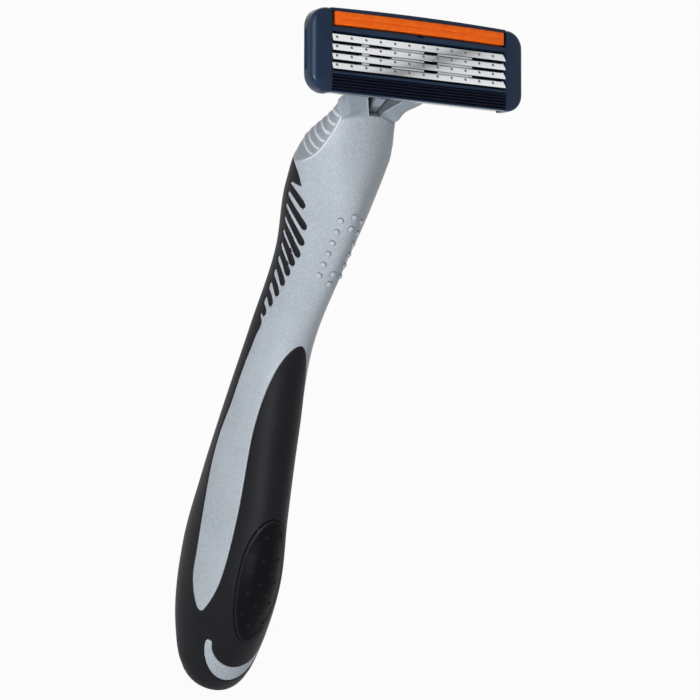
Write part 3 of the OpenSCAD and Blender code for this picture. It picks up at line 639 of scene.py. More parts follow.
def combField(y, z, front, back):  # back strip with its slanted fins, over zero inside the rubber
    edge = np.where(z < grip["backEdge"][-1, 0], backEdge(z), rootPart(z))
    edge = np.where(z < grip["stripeTip"],
                    grip["stripePart"] - grip["tipSpread"] * (grip["stripeTip"] - z), edge)
    field = y - (front + edge * (back - front))
    for i, reach in enumerate(grip["finLong"]):
        t = i / (len(grip["finLong"]) - 1)
        rootZ = grip["finFirst"] - (grip["finPitch"] + grip["pitchGain"] * i) * i
        rootY = float(depthAt(rootZ, rootPart(rootZ)))
        slope = math.radians(grip["finSlope"] - grip["slopeLoss"] * (1 - t) ** grip["lossPower"])
        c, s = math.cos(slope), math.sin(slope)
        half = grip["finWide"] / 2
        along = -((y - rootY) * c + (z - rootZ) * s)
        share = np.clip(along / reach, 0, 1)
        off = (z - rootZ) * c - (y - rootY) * s - 4 * grip["finBow"] * share * (1 - share)
        end = np.clip(along, -grip["finWide"], reach - half)
        field = smoothMax(field, half - np.hypot(along - end, off), grip["gullet"])
    toothY, toothZ = grip["tooth"]
    a = math.radians(grip["toothSlope"])
    tooth = (z - toothZ) * math.cos(a) - (y - toothY) * math.sin(a)
    return smoothMax(field, tooth, grip["gullet"])


def rawFields(angle, z):  # one field per boundary on the skin, each zero along it
    x, y, _ = np.moveaxis(skin(angle, z), -1, 0)
    y = y - seat[1]
    front, back, _, _ = section(z)
    s = -np.cos(angle)
    w = handle["widest"]
    part = np.where(s < 0, w * (1 + s), w + (1 - w) * s)
    panelLow = grip["panelTop"] - grip["panelPoint"]
    fall = 1 - (z - grip["stripeTip"]) / (panelLow - grip["stripeTip"])
    spread = np.maximum(fall, 0) ** grip["panelSpread"]
    share = grip["panelPart"] + (grip["stripePart"] - grip["panelPart"]) * spread
    panel = 1 - (np.maximum(z - panelLow, 0) / grip["panelPoint"]) ** 2 - part / share
    comb = combField(y, z, front, back)
    toothY, toothZ = grip["tooth"]
    past = np.maximum(y - toothY, -grip["topAhead"])
    top = grip["topRise"] * (1 - np.exp(-past / grip["topRound"])) + grip["topSlope"] * past
    topEdge = np.maximum(toothZ + top, toothZ - grip["topDrop"]) - z
    tall = grip["crescentTop"] - grip["crescentLow"]
    up = z - grip["crescentTop"]
    outer = 1 - (x / grip["crescentHalf"]) ** 2 - (up / tall) ** 2
    innerHalf, innerTall = grip["crescentHalf"] - grip["crescentTip"], tall - grip["crescentBand"]
    inner = (x / innerHalf) ** 2 + (up / innerTall) ** 2 - 1
    oval = 1 - (2 * x / pad["wide"]) ** 2 - (2 * (z - pad["middle"]) / pad["long"]) ** 2
    rim = y - restRim(z)
    behind = y * neckBack[1] + (z - seat[2]) * neckBack[2]
    seatBelow = parting(x, behind) - y * neckUp[1] - (z - seat[2]) * neckUp[2]
    return np.stack([panel, comb, topEdge, outer, inner, -up, oval, rim, seatBelow])


def fields(angle, z):  # the same fields as distances along the surface
    step = 0.01
    turn = step / handle["gauge"]
    raw = rawFields(angle, z)
    acrossStep = np.linalg.norm(skin(angle + turn, z) - skin(angle - turn, z), axis=-1) + 1e-6
    upStep = np.linalg.norm(skin(angle, z + step) - skin(angle, z - step), axis=-1) + 1e-6
    acrossSlope = (rawFields(angle + turn, z) - rawFields(angle - turn, z)) / acrossStep
    upSlope = (rawFields(angle, z + step) - rawFields(angle, z - step)) / upStep
    return np.clip(raw / (np.hypot(acrossSlope, upSlope) + 1e-4), -handle["far"], handle["far"])


def regions(angle, z):  # distances into the rubber, the pad, the finger rest and below the seat
    panel, comb, topEdge, outer, inner, belowTips, oval, rim, seatBelow = fields(angle, z)
    facing = np.abs(angle) < math.pi / 2
    crescent = smoothMax(-outer, -inner, grip["crescentRound"])
    crescent = -smoothMax(crescent, -belowTips, grip["crescentTipRound"])
    crescent = np.where(facing, crescent, -handle["far"])
    rubber = smoothMax(panel, np.minimum(comb, topEdge), grip["tipRound"])
    rubber = np.minimum(rubber, -crescent)
    oval = np.where(facing, oval, -handle["far"])
    rest = np.minimum(rim, -topEdge - fingerRest["aboveRubber"])
    y = skin(angle, z)[..., 1] - seat[1]
    near = np.clip(1 - rest / fingerRest["bendFrom"], 0, 1)
    upRib = y * neckUp[1] + (z - seat[2]) * neckUp[2] - fingerRest["bend"] * near * near
    return dict(rubber=rubber, pad=oval, rest=rest, seat=seatBelow, upRib=upRib)


def quarterRound(distance, radius):  # 1 at an edge, easing to 0 at the radius
    t = np.clip(1 - distance / radius, 0, 1)
    return 1 - np.sqrt(1 - t * t)


def ribShare(r):  # 1 on the crest of a rib of the finger rest
    place = (fingerRest["firstRib"] - r["upRib"]) / fingerRest["ribPitch"]
    nearest = np.clip(np.round(place), 0, fingerRest["ribs"] - 1)
    away = np.abs(place - nearest) * fingerRest["ribPitch"] / fingerRest["ribWide"]
    fade = smoothStep((r["rest"] - fingerRest["ribFrom"]) / fingerRest["ribFade"])
    return np.clip(1 - away, 0, 1) ** fingerRest["ribPower"] * fade


def restStep(r):  # 0 at the rim of the finger rest, 1 just inside
    return smoothStep(r["rest"] / fingerRest["lip"])


def intoRubber(r):  # distance in from the rubber's edges, the one round the pad too
    return np.minimum(r["rubber"], -r["pad"] - pad["gap"])


# Lift of each skin over the bare surface, and the painted highlights and shade along its edges
def silverLift(angle, z):
    r = regions(angle, z)
    into = -r["rubber"]
    lift = -handle["seam"] * quarterRound(np.maximum(into, 0), handle["silverRound"])
    lift = np.where(into < -0.01, -handle["rubberThick"] - handle["tuck"], lift)
    bead = fingerRest["bead"] * np.exp(-(r["rest"] / fingerRest["beadWide"]) ** 2)
    level = ribShare(r) * (fingerRest["deep"] + fingerRest["crest"]) - fingerRest["deep"]
    level = level * np.clip(r["rest"] / fingerRest["lipFar"], 0, 1) ** 2 - fingerRest["step"] * restStep(r)
    return lift + level + bead - handle["seatDrop"] * quarterRound(r["seat"], handle["seatRound"])


# painted highlights on the finger rest's rim, the rib crests and the silver beside the rubber, painted shade
# in the rest's hollows
def silverRim(angle, z):
    r = regions(angle, z)
    rib = ribShare(r)
    fade = np.clip((z - fingerRest["fadeLow"]) / fingerRest["fadeOver"], 0, 1)
    bead = fade * np.exp(-(r["rest"] / fingerRest["shineWide"]) ** 2)
    beside = handle["seamShine"] * np.clip(1 + r["rubber"] / handle["silverRound"], 0, 1)
    hollow = fingerRest["hollowShade"] * restStep(r) * (1 - rib) ** 2
    return np.clip(bead + fingerRest["crestShine"] * rib ** 3 + beside, 0, 1) - hollow


def rubberLift(angle, z):
    into = intoRubber(regions(angle, z))
    return handle["proud"] - (handle["proud"] + handle["seam"]) * quarterRound(into, handle["rubberRound"])


# painted highlight along the rubber's edges
def rubberRim(angle, z):
    into = intoRubber(regions(angle, z))
    return handle["rubberShine"] * np.clip(1 - into / handle["rubberRound"], 0, 1)


def padLift(angle, z):
    into = regions(angle, z)["pad"]
    bead = pad["bead"] * np.exp(-((into - pad["beadAt"]) / pad["beadWide"]) ** 2)
    dish = pad["dish"] * np.clip((into - pad["dishFrom"]) / pad["dishOver"], 0, 1)
    edge = (handle["proud"] + pad["sunk"]) * quarterRound(into, pad["edgeRound"])
    return handle["proud"] - edge + bead - dish


# painted highlight in a ring just inside the pad's edge
def padRim(angle, z):
    into = regions(angle, z)["pad"]
    return pad["shine"] * np.exp(-((into - pad["shineAt"]) / pad["shineWide"]) ** 2)


def raised(angle, z, lift):  # the skin moved out along its normal
    step = 0.01
    turn = step / handle["gauge"]
    z = np.maximum(z, 0)
    acrossWay = skin(angle + turn, z) - skin(angle - turn, z)
    upWay = skin(angle, z + step) - skin(angle, np.maximum(z - step, 0))
    return skin(angle, z) + unit(np.cross(acrossWay, upWay)) * np.asarray(lift)[..., None]


def skinNormals(angle, z, liftAt):
    step, lowest = 0.02, 0.002                # the tip of the heel itself looks straight down
    turn = step / handle["gauge"]

    def place(a, h):
        return raised(a, h, liftAt(a, h))
    level = np.maximum(z, 2 * lowest)
    acrossWay = place(angle + turn, level) - place(angle - turn, level)
    upWay = place(angle, z + step) - place(angle, np.maximum(z - step, lowest))
    return np.where(z[:, None] > 1.5 * lowest, unit(np.cross(acrossWay, upWay)), [0, 0, -1])


def sheetRows():
    shares = np.linspace(0, handle["domeShare"], handle["domeRows"])
    dome = handle["heelRound"] * (1 - (1 - shares ** handle["heelPower"]) ** (1 / handle["heelPower"]))
    rows = list(dome)
    for low, high, step in handle["rows"]:
        rows += list(np.linspace(low, high, max(2, round((high - low) / step)), endpoint=False))
    return np.array(rows + [handle["rows"][-1][1]])


def sheet(cuts):  # flat sheet of the skin, cut along the levels of each field
    bm = bmesh.new()
    angles = np.linspace(-math.pi, math.pi, handle["columns"] + 1) * handle["gauge"]
    rows = [[bm.verts.new((a, z, 0)) for a in angles] for z in sheetRows()]
    for low, high in zip(rows, rows[1:]):
        for j in range(handle["columns"]):
            bm.faces.new((low[j], low[j + 1], high[j + 1], high[j]))
    for fieldOf, levels, keepInside, within in cuts:
        angle, z, _ = sheetPlaces(bm)
        r = regions(angle, z)
        for vert, value in zip(bm.verts, fieldOf(r)):
            vert.co.z = value
        mark = bm.verts.layers.int.get("within") or bm.verts.layers.int.new("within")
        for vert, inside in zip(bm.verts, within(r)):
            vert[mark] = int(inside)
        for level in levels:
            faces = [face for face in bm.faces if all(v[mark] for v in face.verts)]
            edges = {edge for face in faces for edge in face.edges}
            verts = {vert for face in faces for vert in face.verts}
            made = bmesh.ops.bisect_plane(
                bm, geom=faces + list(edges) + list(verts), dist=1e-5, plane_co=(0, 0, level),
                plane_no=(0, 0, 1), clear_inner=keepInside and level == levels[0])
            for part in made["geom_cut"]:
                if isinstance(part, bmesh.types.BMVert):
                    part[mark] = 1
    return bm


def everywhere(r):
    return np.ones(len(r["seat"]), bool)


def sheetPlaces(bm):
    co = np.array([vert.co[:] for vert in bm.verts])
    return co[:, 0] / handle["gauge"], co[:, 1], co[:, 2]


def wrapSheet(bm, liftAt, rimAt, thickness=None):  # lays the sheet on the handle, closed behind if thick
    angle, z, _ = sheetPlaces(bm)
    places = raised(angle, z, liftAt(angle, z))
    bm.verts.layers.int.remove(bm.verts.layers.int["within"])
    rim = bm.verts.layers.float.new("rim")
    layer = bm.verts.layers.float_vector.new("skinNormal")
    for vert, normal, share in zip(bm.verts, skinNormals(angle, z, liftAt), rimAt(angle, z)):
        vert[layer] = Vector(normal)
        vert[rim] = share
    outer, inner = bm.verts[:], []
    for face in bm.faces:
        face.smooth = True
    if thickness is not None:
        edgeOf = math.pi * handle["gauge"] - 1e-4
        rims = [edge for edge in bm.edges if len(edge.link_faces) == 1
                and not all(abs(vert.co.x) > edgeOf for vert in edge.verts)
                and not all(vert.co.y < 1e-6 for vert in edge.verts)]
        inner = [bm.verts.new(vert.co) for vert in outer]
        match = dict(zip(outer, inner))
        for face in bm.faces[:]:
            bm.faces.new([match[v] for v in reversed(face.verts)]).smooth = True
        for edge in rims:
            a, b = edge.link_loops[0].vert, edge.link_loops[0].link_loop_next.vert
            bm.faces.new((b, a, match[a], match[b])).smooth = True
        places = np.concatenate([places, raised(angle, z, np.full(len(z), -thickness))])
    for vert, place in zip(outer + inner, places):
        vert.co = Vector(place)
    bmesh.ops.remove_doubles(bm, verts=bm.verts[:], dist=1e-4)


def sheetObject(bm, name, material):  # with the skin's own normals, flat faces left flat
    for vert in bm.verts:
        vert.co *= mm
    mesh = bpy.data.meshes.new(name)
    bm.to_mesh(mesh)
    bm.free()
    obj = addObject(name, mesh, material)
    stored, plain = np.zeros((2, len(mesh.vertices) * 3), np.float32)
    mesh.attributes["skinNormal"].data.foreach_get("vector", stored)
    mesh.vertex_normals.foreach_get("vector", plain)
    stored, plain = stored.reshape(-1, 3), plain.reshape(-1, 3)
    use = np.where(np.linalg.norm(stored, axis=1, keepdims=True) > 0.5, stored, plain)
    corner = np.zeros(len(mesh.loops), np.int32)
    mesh.loops.foreach_get("vertex_index", corner)
    normals = use[corner]
    for polygon in mesh.polygons:
        if not polygon.use_smooth:
            normals[polygon.loop_start:polygon.loop_start + polygon.loop_total] = polygon.normal
    mesh.attributes.remove(mesh.attributes["skinNormal"])
    mesh.normals_split_custom_set(normals.tolist())
    return obj


def angleAt(x, z):  # where the front of the skin has this sideways place
    low, high = -math.pi / 2, math.pi / 2
    for _ in range(halvings):
        middle = (low + high) / 2
        if skin(np.array([middle]), np.array([float(z)]))[0, 0] < x:
            low = middle
        else:
            high = middle
    return (low + high) / 2


def addDots(bm, spots, dot, liftAt):  # raised round dots set into the skin
    rim = bm.verts.layers.float["rim"]
    sides = dot["sides"]
    turns = np.linspace(0, 2 * math.pi, sides, endpoint=False)
    profile = [(dot["radius"], -dot["sunk"])]
    for t in np.linspace(0, math.pi / 2, dot["rings"] + 1)[:-1]:
        profile.append((dot["radius"] * math.cos(t) ** dot["flat"], dot["high"] * math.sin(t)))
    for x, z in spots:
        angle, height = np.array([angleAt(x, z)]), np.array([float(z)])
        centre = raised(angle, height, liftAt(angle, height))[0]
        out = skinNormals(angle, height, lambda a, h: np.zeros(len(a)))[0]
        right = np.cross([0, 0, 1.0], out)
        right /= np.linalg.norm(right)
        around = np.outer(np.cos(turns), right) + np.outer(np.sin(turns), np.cross(out, right))
        loops = []
        for wide, high in profile:
            loops.append([bm.verts.new(centre + out * high + wide * way) for way in around])
        # the shade table paints shade round each dot's foot under zero and a highlight towards its top over
        # zero
        for loop, share in zip(loops, dot["shade"]):
            for vert in loop:
                vert[rim] = share
        for low, top in zip(loops, loops[1:]):
            for j in range(sides):
                k = (j + 1) % sides
                bm.faces.new((low[j], low[k], top[k], top[j])).smooth = True
        crown = bm.verts.new(centre + out * dot["high"])
        for j in range(sides):
            bm.faces.new((loops[-1][j], loops[-1][(j + 1) % sides], crown)).smooth = True
        bm.faces.new(list(reversed(loops[0])))


thumbDots = dict(
    radius=0.62, high=0.46, sunk=0.2, flat=0.6, sides=20, rings=5, shade=(-1, -1, -0.8, -0.2, 0.1, 0.3),
    aside=(-2.1, 2.5), low=88.4, top=100.2, rows=6, ridge=(101.4, 99.05, 89.3, 87.1),
)
padDots = dict(
    radius=0.42, high=0.2, sunk=0.2, flat=0.6, sides=18, rings=5, shade=(0, 0, 0.3, 0.4, 0.4, 0.3),
    columns=(-2.75, -0.95, 0.85, 2.65), low=17.8, step=4.55, rows=5,
)


def closeSeat(bm):  # arched seat of the neck with the socket for the yoke's shank
    ring = [e for e in bm.edges if len(e.link_faces) == 1]
    for vert in {vert for edge in ring for vert in edge.verts}:
        place = np.array(vert.co) - seat
        gap = float(place @ neckUp) - float(parting(vert.co.x, place @ neckBack))
        vert.co -= Vector(neckUp * gap)
    room = yoke["shankRoom"]
    half = yoke["shankWide"] / 2 + room
    front = -yoke["shankFront"] - yoke["shankThick"] / 2 - room
    back = -yoke["shankFront"] + yoke["shankThick"] / 2 + room
    depth = -yoke["shankLong"] - room
    xs, ys = np.linspace(-half, half, 13), np.linspace(front, back, 9)
    outline = [(x, front) for x in xs[:-1]] + [(half, y) for y in ys[:-1]]
    outline += [(-x, back) for x in xs[:-1]] + [(-half, y) for y in ys[:0:-1]]
    top = [bm.verts.new(p) for p in onNeck([(x, y, parting(x, y)) for x, y in outline])]
    foot = [bm.verts.new(p) for p in onNeck([(x, y, depth) for x, y in outline])]
    pairs = list(zip(range(len(outline)), [*range(1, len(outline)), 0]))
    mouth = [bm.edges.new((top[i], top[j])) for i, j in pairs]
    filled = bmesh.ops.triangle_fill(bm, use_beauty=True, edges=ring + mouth, normal=Vector(neckUp))
    walls = [bm.faces.new((top[i], top[j], foot[j], foot[i])) for i, j in pairs] + [bm.faces.new(foot)]
    inside = onNeck([(0, -yoke["shankFront"], depth / 2)])[0]
    for face in walls + [part for part in filled["geom"] if isinstance(part, bmesh.types.BMFace)]:
        face.smooth = False
        face.normal_update()
        facing = inside - np.array(face.calc_center_median()) if face in walls else neckUp
        if np.dot(np.array(face.normal), facing) < 0:
            face.normal_flip()


def ribCuts():
    crests = fingerRest["firstRib"] - fingerRest["ribPitch"] * np.arange(fingerRest["ribs"])
    shares = fingerRest["ribCuts"]
    return sorted(float(crest + fingerRest["ribWide"] * share) for crest in crests for share in shares)


def makeHandleCore():
    bm = sheet([
        (lambda r: r["seat"], handle["seatCuts"], True, everywhere),
        (lambda r: r["rest"], fingerRest["rimCuts"], False, everywhere),
        (lambda r: -r["rubber"], handle["silverCuts"], False, everywhere),
        (lambda r: r["upRib"], ribCuts(), False, lambda r: r["rest"] > fingerRest["cutFrom"]),
    ])
    wrapSheet(bm, silverLift, silverRim)
    closeSeat(bm)
    d = thumbDots
    heights = np.linspace(d["low"], d["top"], d["rows"])
    spots = [(x, z) for x in d["aside"] for z in heights] + [(0, z) for z in d["ridge"]]
    addDots(bm, spots, d, silverLift)
    obj = sheetObject(bm, "silver_handle", silverPaint)
    standFor(obj, "handle", "handle_core")


def makeRubberGrip():
    bm = sheet([(intoRubber, handle["rubberCuts"], True, everywhere)])
    wrapSheet(bm, rubberLift, rubberRim, handle["rubberThick"])
    obj = sheetObject(bm, "rubber_overmould", gripRubber)
    standFor(obj, "handle", "rubber_grip")


def makeThumbPad():
    bm = sheet([(lambda r: r["pad"], pad["cuts"], True, everywhere)])
    wrapSheet(bm, padLift, padRim, pad["thick"])
    d = padDots
    spots = []
    for k, x in enumerate(d["columns"]):
        shift = 0 if k % 2 else d["step"] / 2
        rows = d["rows"] if k % 2 else d["rows"] - 1
        spots += [(x, d["low"] + shift + d["step"] * i) for i in range(rows)]
    addDots(bm, spots, d, padLift)
    obj = sheetObject(bm, "thumb_pad_oval", padRubber)
    standFor(obj, "handle", "thumb_pad")


makeHandleCore()
makeRubberGrip()
makeThumbPad()
print("handle wrapped")


# Yoke: two arms that spread behind the cartridge, on a shank that plugs into the neck
fork = dict(
    shankTop=0, shankEase=0.2, channel=(2.02, 1.32), well=(2.92, 1.32), wellFloor=0.8, footStop=2.6,
    tipRadius=1.7, tipTurns=range(12, 89, 12),
    pinRadius=0.9, pinLong=2.4, pinSunk=1, pinSides=40,
    pinEnd=((0.25, 0), (0.08, 0.08), (0, 0.25)),   # back from the end, and drawn in
    blend=8, blendPower=1.5, grow=1.6,        # how soon the arms leave the parting and the neck's section
    rings=44, start=0.03, low=-4, tableSteps=(0.25, 0.2),
    neckHigh=5.6, neckBetween=(105, 135), neckSteps=181,   # where the neck's section is looked for
    cornerRounds=(0, 0.6, 1.4, 1.1, 0), cornerSteps=6, edge=0.15, between=(0.06, 0.3, 0.55, 0.8),
    edgeShine=1, insideShade=-1.5,            # a painted highlight on the inner front edge, painted shade on the inner side
    # height, inner, front, front corner, outer and its depth, back corner, back
    arm=np.array([
        [-3.0, 1.2, -3.0, 5.2, 6.3, 0.0, 4.6, 1.7],
        [0.5, 1.2, -2.4, 5.6, 6.5, -0.2, 4.7, 1.7],
        [1.3, 1.6, -2.1, 5.9, 6.6, -0.5, 4.8, 1.7],
        [2.2, 2.1, -2.0, 6.3, 6.8, -0.8, 4.9, 1.7],
        [3.1, 2.65, -1.95, 7.0, 7.2, -1.0, 5.0, 1.72],
        [4.0, 3.2, -1.95, 7.7, 7.8, -1.1, 5.3, 1.76],
        [4.9, 3.75, -1.95, 8.3, 8.4, -1.1, 5.9, 1.8],
        [6.0, 4.45, -1.95, 9.0, 9.1, -1.1, 7.0, 1.9],
        [8.0, 6.0, -1.9, 9.9, 10.1, -0.9, 9.0, 2.2],
        [10.7, 7.75, -1.25, 10.3, 10.95, -0.6, 10.3, 2.62],
        [12.4, 7.8, -0.6, 10.4, 11.0, 0.3, 10.5, 2.8],
    ]),
)
armLines = [curveThrough(fork["arm"], c) for c in range(1, 8)]


def armLine(z):  # outside of an arm, from its inner front edge round to its inner back edge
    reach, radius, behind = yoke["reach"], fork["tipRadius"], yoke["pivotBehind"]
    inner, front, frontAt, outer, outerAt, backAt, back = (float(line(min(z, reach))) for line in armLines)
    if z > reach:
        chord = math.sqrt(max(reach + radius - z, 0) * (z - reach + radius))
        front, back = behind - chord, behind + chord
        outerAt = behind + (outerAt - behind) * chord / radius
    corners = [(inner, front), (frontAt, front), (outer, outerAt), (backAt, back), (inner, back)]
    arcs = eased(corners, fork["cornerRounds"], fork["cornerSteps"]).reshape(5, -1, 2)
    line = [arcs[0, 0]]
    for arc in (arcs[1], arcs[2], arcs[3], arcs[4, :1]):
        start = line[-1]
        line += [start + t * (arc[0] - start) for t in fork["between"]] + list(arc)
    return np.array(line)


def lineLength(points):
    return np.concatenate([[0], np.cumsum(np.linalg.norm(np.diff(points, axis=0), axis=1))])


armRun = lineLength(armLine(fork["grow"]))


def neckLine(z):  # the neck's own section at this height, from the same inner edge
    angle = np.linspace(0, math.pi, fork["neckSteps"])
    low, high = (np.full(fork["neckSteps"], float(height)) for height in fork["neckBetween"])
    for _ in range(halvings):
        middle = (low + high) / 2
        under = (skin(angle, middle) - seat) @ neckUp < z
        low, high = np.where(under, middle, low), np.where(under, high, middle)
    place = skin(angle, low) - seat
    across = np.maximum(place[:, 0], float(armLines[0](z)))
    line = np.column_stack([across, place @ neckBack])
    run = lineLength(line)
    return np.column_stack([np.interp(armRun / armRun[-1] * run[-1], run, line[:, c]) for c in (0, 1)])


def armTable(lineAt, heights):  # the line at a height of its own for each of its points
    lines = np.array([lineAt(z) for z in heights])

    def at(zs):
        return np.array([[np.interp(z, heights, lines[:, j, c]) for c in (0, 1)] for j, z in enumerate(zs)])
    return at


def yokeArm(side):  # grows out of the neck's section at the parting
    reach = yoke["reach"]
    neckStep, armStep = fork["tableSteps"]
    neckAt = armTable(neckLine, np.arange(fork["low"], fork["neckHigh"], neckStep))
    armAt = armTable(armLine, np.arange(fork["low"], reach + 0.01, armStep))
    foot = np.zeros(len(armRun))
    for _ in range(halvings):
        foot = (foot + parting(*neckAt(foot).T)) / 2
    rings = []
    for z in np.linspace(fork["start"], reach, fork["rings"]):
        heights = z + foot * max(1 - z / fork["blend"], 0) ** fork["blendPower"]
        share = smoothStep((heights - foot) / fork["grow"])[:, None]
        rings.append(np.column_stack([neckAt(heights) * (1 - share) + armAt(heights) * share, heights]))
    for turn in fork["tipTurns"]:
        z = reach + fork["tipRadius"] * math.sin(math.radians(turn))
        rings.append(np.column_stack([armLine(z), np.full(len(armRun), z)]))
    rings = [np.vstack([ring, ring[0] + [0, fork["edge"], 0]]) for ring in rings]
    arm = loftObject("yoke_arm", [onNeck(ring * [side, 1, 1]) for ring in rings])
    # painted highlight on the inner front edge, painted shade on the inner side
    shade = np.zeros(len(rings[0]))
    shade[0] = fork["edgeShine"]
    shade[-2:] = fork["insideShade"]
    storeRim(arm, np.tile(shade, len(rings)))
    return arm


def pivotPin(side):
    outer = fork["arm"][-1, 4]
    end = outer + fork["pinLong"]
    turns = np.linspace(0, 2 * math.pi, fork["pinSides"], endpoint=False)
    rings = []
    for x, inset in [(outer - fork["pinSunk"], 0)] + [(end - back, inset) for back, inset in fork["pinEnd"]]:
        r = fork["pinRadius"] - inset
        circle = np.column_stack([np.full(len(turns), side * x), r * np.cos(turns), r * np.sin(turns)])
        rings.append(onPivot(circle))
    return loftObject("yoke_pin", rings)


def makeYoke():
    half, thick, y = yoke["shankWide"] / 2, yoke["shankThick"] / 2, -yoke["shankFront"]
    obj = softBox("forked_yoke", (-half, y - thick, -yoke["shankLong"]), (half, y + thick, fork["shankTop"]),
                  onNeck, fork["shankEase"], 3)
    stop, floor = -fork["footStop"], -yoke["shankLong"] + fork["wellFloor"]
    for (w, t), low, high in ((fork["channel"], stop - 1, 3), (fork["well"], floor, stop)):
        carve(obj, softBox("cut", (-w / 2, y - t / 2, low), (w / 2, y + t / 2, high), onNeck, 0))
    joinPieces(obj, [piece(side) for side in (-1, 1) for piece in (yokeArm, pivotPin)])
    finishPiece(obj, greyPlastic, "head_unit", "pivot_yoke")


plunger = dict(
    wide=1.9, thick=1.2, footWide=2.8, footLong=1.6, foot=-4.26, crest=12.14, ease=0.2,
    shadeTop=1.65, shadeFade=0.3,             # painted shade down in the yoke, on the tongue's lower end
    # share of the depth, inset
    edges=((-1, 0.12), (-0.8, 0.02), (-0.5, 0), (0.5, 0), (0.8, 0.02), (1, 0.12)),
)


def makePlunger():  # flat tongue with a round crest and a broad foot
    p = plunger
    w, f = p["wide"] / 2, p["footWide"] / 2
    crown = p["crest"] + p["thick"] / 2
    ankle = p["foot"] + p["footLong"]
    right = [(f, p["foot"]), (f, ankle), (w, ankle), (w, p["shadeTop"]), (w, p["shadeTop"] + p["shadeFade"]),
             (w, crown)]
    side = eased(right + [(-x, z) for x, z in reversed(right)], p["ease"])
    rings = []
    for depth, inset in p["edges"]:
        y = -yoke["shankFront"] + depth * p["thick"] / 2
        x = np.sign(side[:, 0]) * np.maximum(np.abs(side[:, 0]) - inset, 0)
        drop = p["thick"] / 2 * (1 - math.sqrt(1 - depth ** 2))
        z = np.minimum(side[:, 1], crown - drop)
        rings.append(onNeck(np.column_stack([x, np.full(len(x), y), z])))
    obj = loftObject("plunger_tongue", rings)
    # painted shade on the tongue below shadeTop
    dark = side[:, 1] < p["shadeTop"] + p["shadeFade"] / 3
    storeRim(obj, np.tile(np.where(dark, -1, 0), len(rings)))
    finishPiece(obj, greyPlastic, "plunger", "return_plunger", 40)


spring = dict(radius=0.49, wire=0.24, turns=5, low=-9.03, high=-4.43, perTurn=28, sides=10,
              endTurns=0.8, endPitch=0.35)    # the end coils lie closer


def makeSpring():
    s = spring
    count = s["turns"] * s["perTurn"]
    t = np.linspace(0, 1, count + 1)
    turn = 2 * math.pi * s["turns"] * t
    ends = np.clip(np.minimum(t, 1 - t) * s["turns"] / s["endTurns"], 0, 1)
    rise = np.cumsum(s["endPitch"] + (1 - s["endPitch"]) * ends)
    rise = (rise - rise[0]) / (rise[-1] - rise[0])
    centre = np.column_stack([s["radius"] * np.cos(turn), s["radius"] * np.sin(turn) - yoke["shankFront"],
                              s["low"] + (s["high"] - s["low"]) * rise])
    rings = []
    for c, a in zip(centre, turn):
        b = np.linspace(0, 2 * math.pi, s["sides"], endpoint=False)
        radial = np.column_stack([math.cos(a) * np.cos(b), math.sin(a) * np.cos(b), np.sin(b)])
        rings.append(onNeck(c + s["wire"] / 2 * radial))
    obj = loftObject("coil_spring", rings)
    finishPiece(obj, springSteel, "head_unit", "return_spring", 60)
    low, high = s["low"] - s["wire"] / 2, s["high"] + s["wire"] / 2
    travel = max(abs(v) for v in joints["plunger_slide"]["range_m"]) / mm
    anchor = onNeck([(0, -yoke["shankFront"], low)])[0] * mm
    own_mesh(obj)


makeYoke()
makePlunger()
makeSpring()
print("yoke, plunger and spring made")


# Cartridge: heights up the face, worked out from the stack of bars
halfHigh = cartridge["high"] / 2
faceHalf = cartridge["wide"] / 2 - cartridge["capWide"]
stripTop = halfHigh - cartridge["rail"]
stripLow = stripTop - cartridge["strip"]
windowTop = stripLow - cartridge["bar"]
guardLow = -halfHigh + cartridge["lip"]
guardTop = guardLow + cartridge["guard"]
windowLow = guardTop + cartridge["guardBar"]
windowDeep = cartridge["deep"] - cartridge["floor"]
base = dict(
    ease=0.28, underRise=0.45, underOut=-1.2, barTop=0.15, barFoot=0.15,
    railRise=0.26, railBow=0.32, stripBow=0.15, lipShine=0.03,
    lugAt=11.15, lugWide=2.4, lugWall=0.95, lugRoot=0.4, lugEase=0.14, lugSides=56, boreRadius=0.94,
    camWide=2.7, camDeep=2.0, camRise=0.4, camEase=0.2,
    rinse=(2.55, 9.95), slots=((0.755, 1.715), (-0.865, 0.095), (-2.3, -1.525)), slotRound=0.3,
    notch=0.75, notchSpans=((-0.3, 0.3), (-0.25, 0.3)), notchLow=-1.2, notchRound=0.12,
    tabRoom=1.05, lap=0.05,
)


def faceBow(outline, x):  # the rail and the strip bow up in the middle
    up = outline[:, 0]
    rise = np.interp(up, [windowTop, stripLow, stripTop, halfHigh],
                     [0, base["stripBow"], base["stripBow"], base["railBow"]])
    lift = rise * (1 - (x / faceHalf) ** 2) + np.where(up > stripTop + 0.1, base["railRise"], 0)
    return np.column_stack([lift, 0 * lift])


cap = dict(
    deep=3.4, edge=0.95, back=0.35, crown=0.14, inside=2.3, wall=0.8, front=1.2, gap=0.04,
    arc=10, leastRound=0.25,
    recess=(-3.3, 3.6), recessDeep=0.3, recessFrom=-3.0, recessTo=-2.0, recessRound=0.25,
    crest=7, crestWide=1.2,                   # a painted highlight along the rounded edge
    shine=(0.1, 0.25, 0.5, 0.6, 0.6, 0.5, 0.25, 0.1),
)


def endRing(side, inset, inner, out):  # outline of an end of the cartridge, drawn in and cut at inner
    r = max(cartridge["cornerRadius"] - inset, cap["leastRound"])
    x = cartridge["wide"] / 2 - inset - r
    y = halfHigh - inset - r
    ring = [(inner, -y - r)]
    for start, cy in ((-90, -y), (0, y + base["railRise"])):
        for t in np.radians(np.linspace(start, start + 90, cap["arc"])):
            ring.append((max(x + r * math.cos(t), inner), cy + r * math.sin(t)))
    ring.append((inner, y + r + base["railRise"]))
    return onFace([(side * across, up, out) for across, up in ring])


def endSolid(name, side, inset, inner, low, high):
    return softEdges(loftObject(name, [endRing(side, inset, inner, out) for out in (low, high)]))


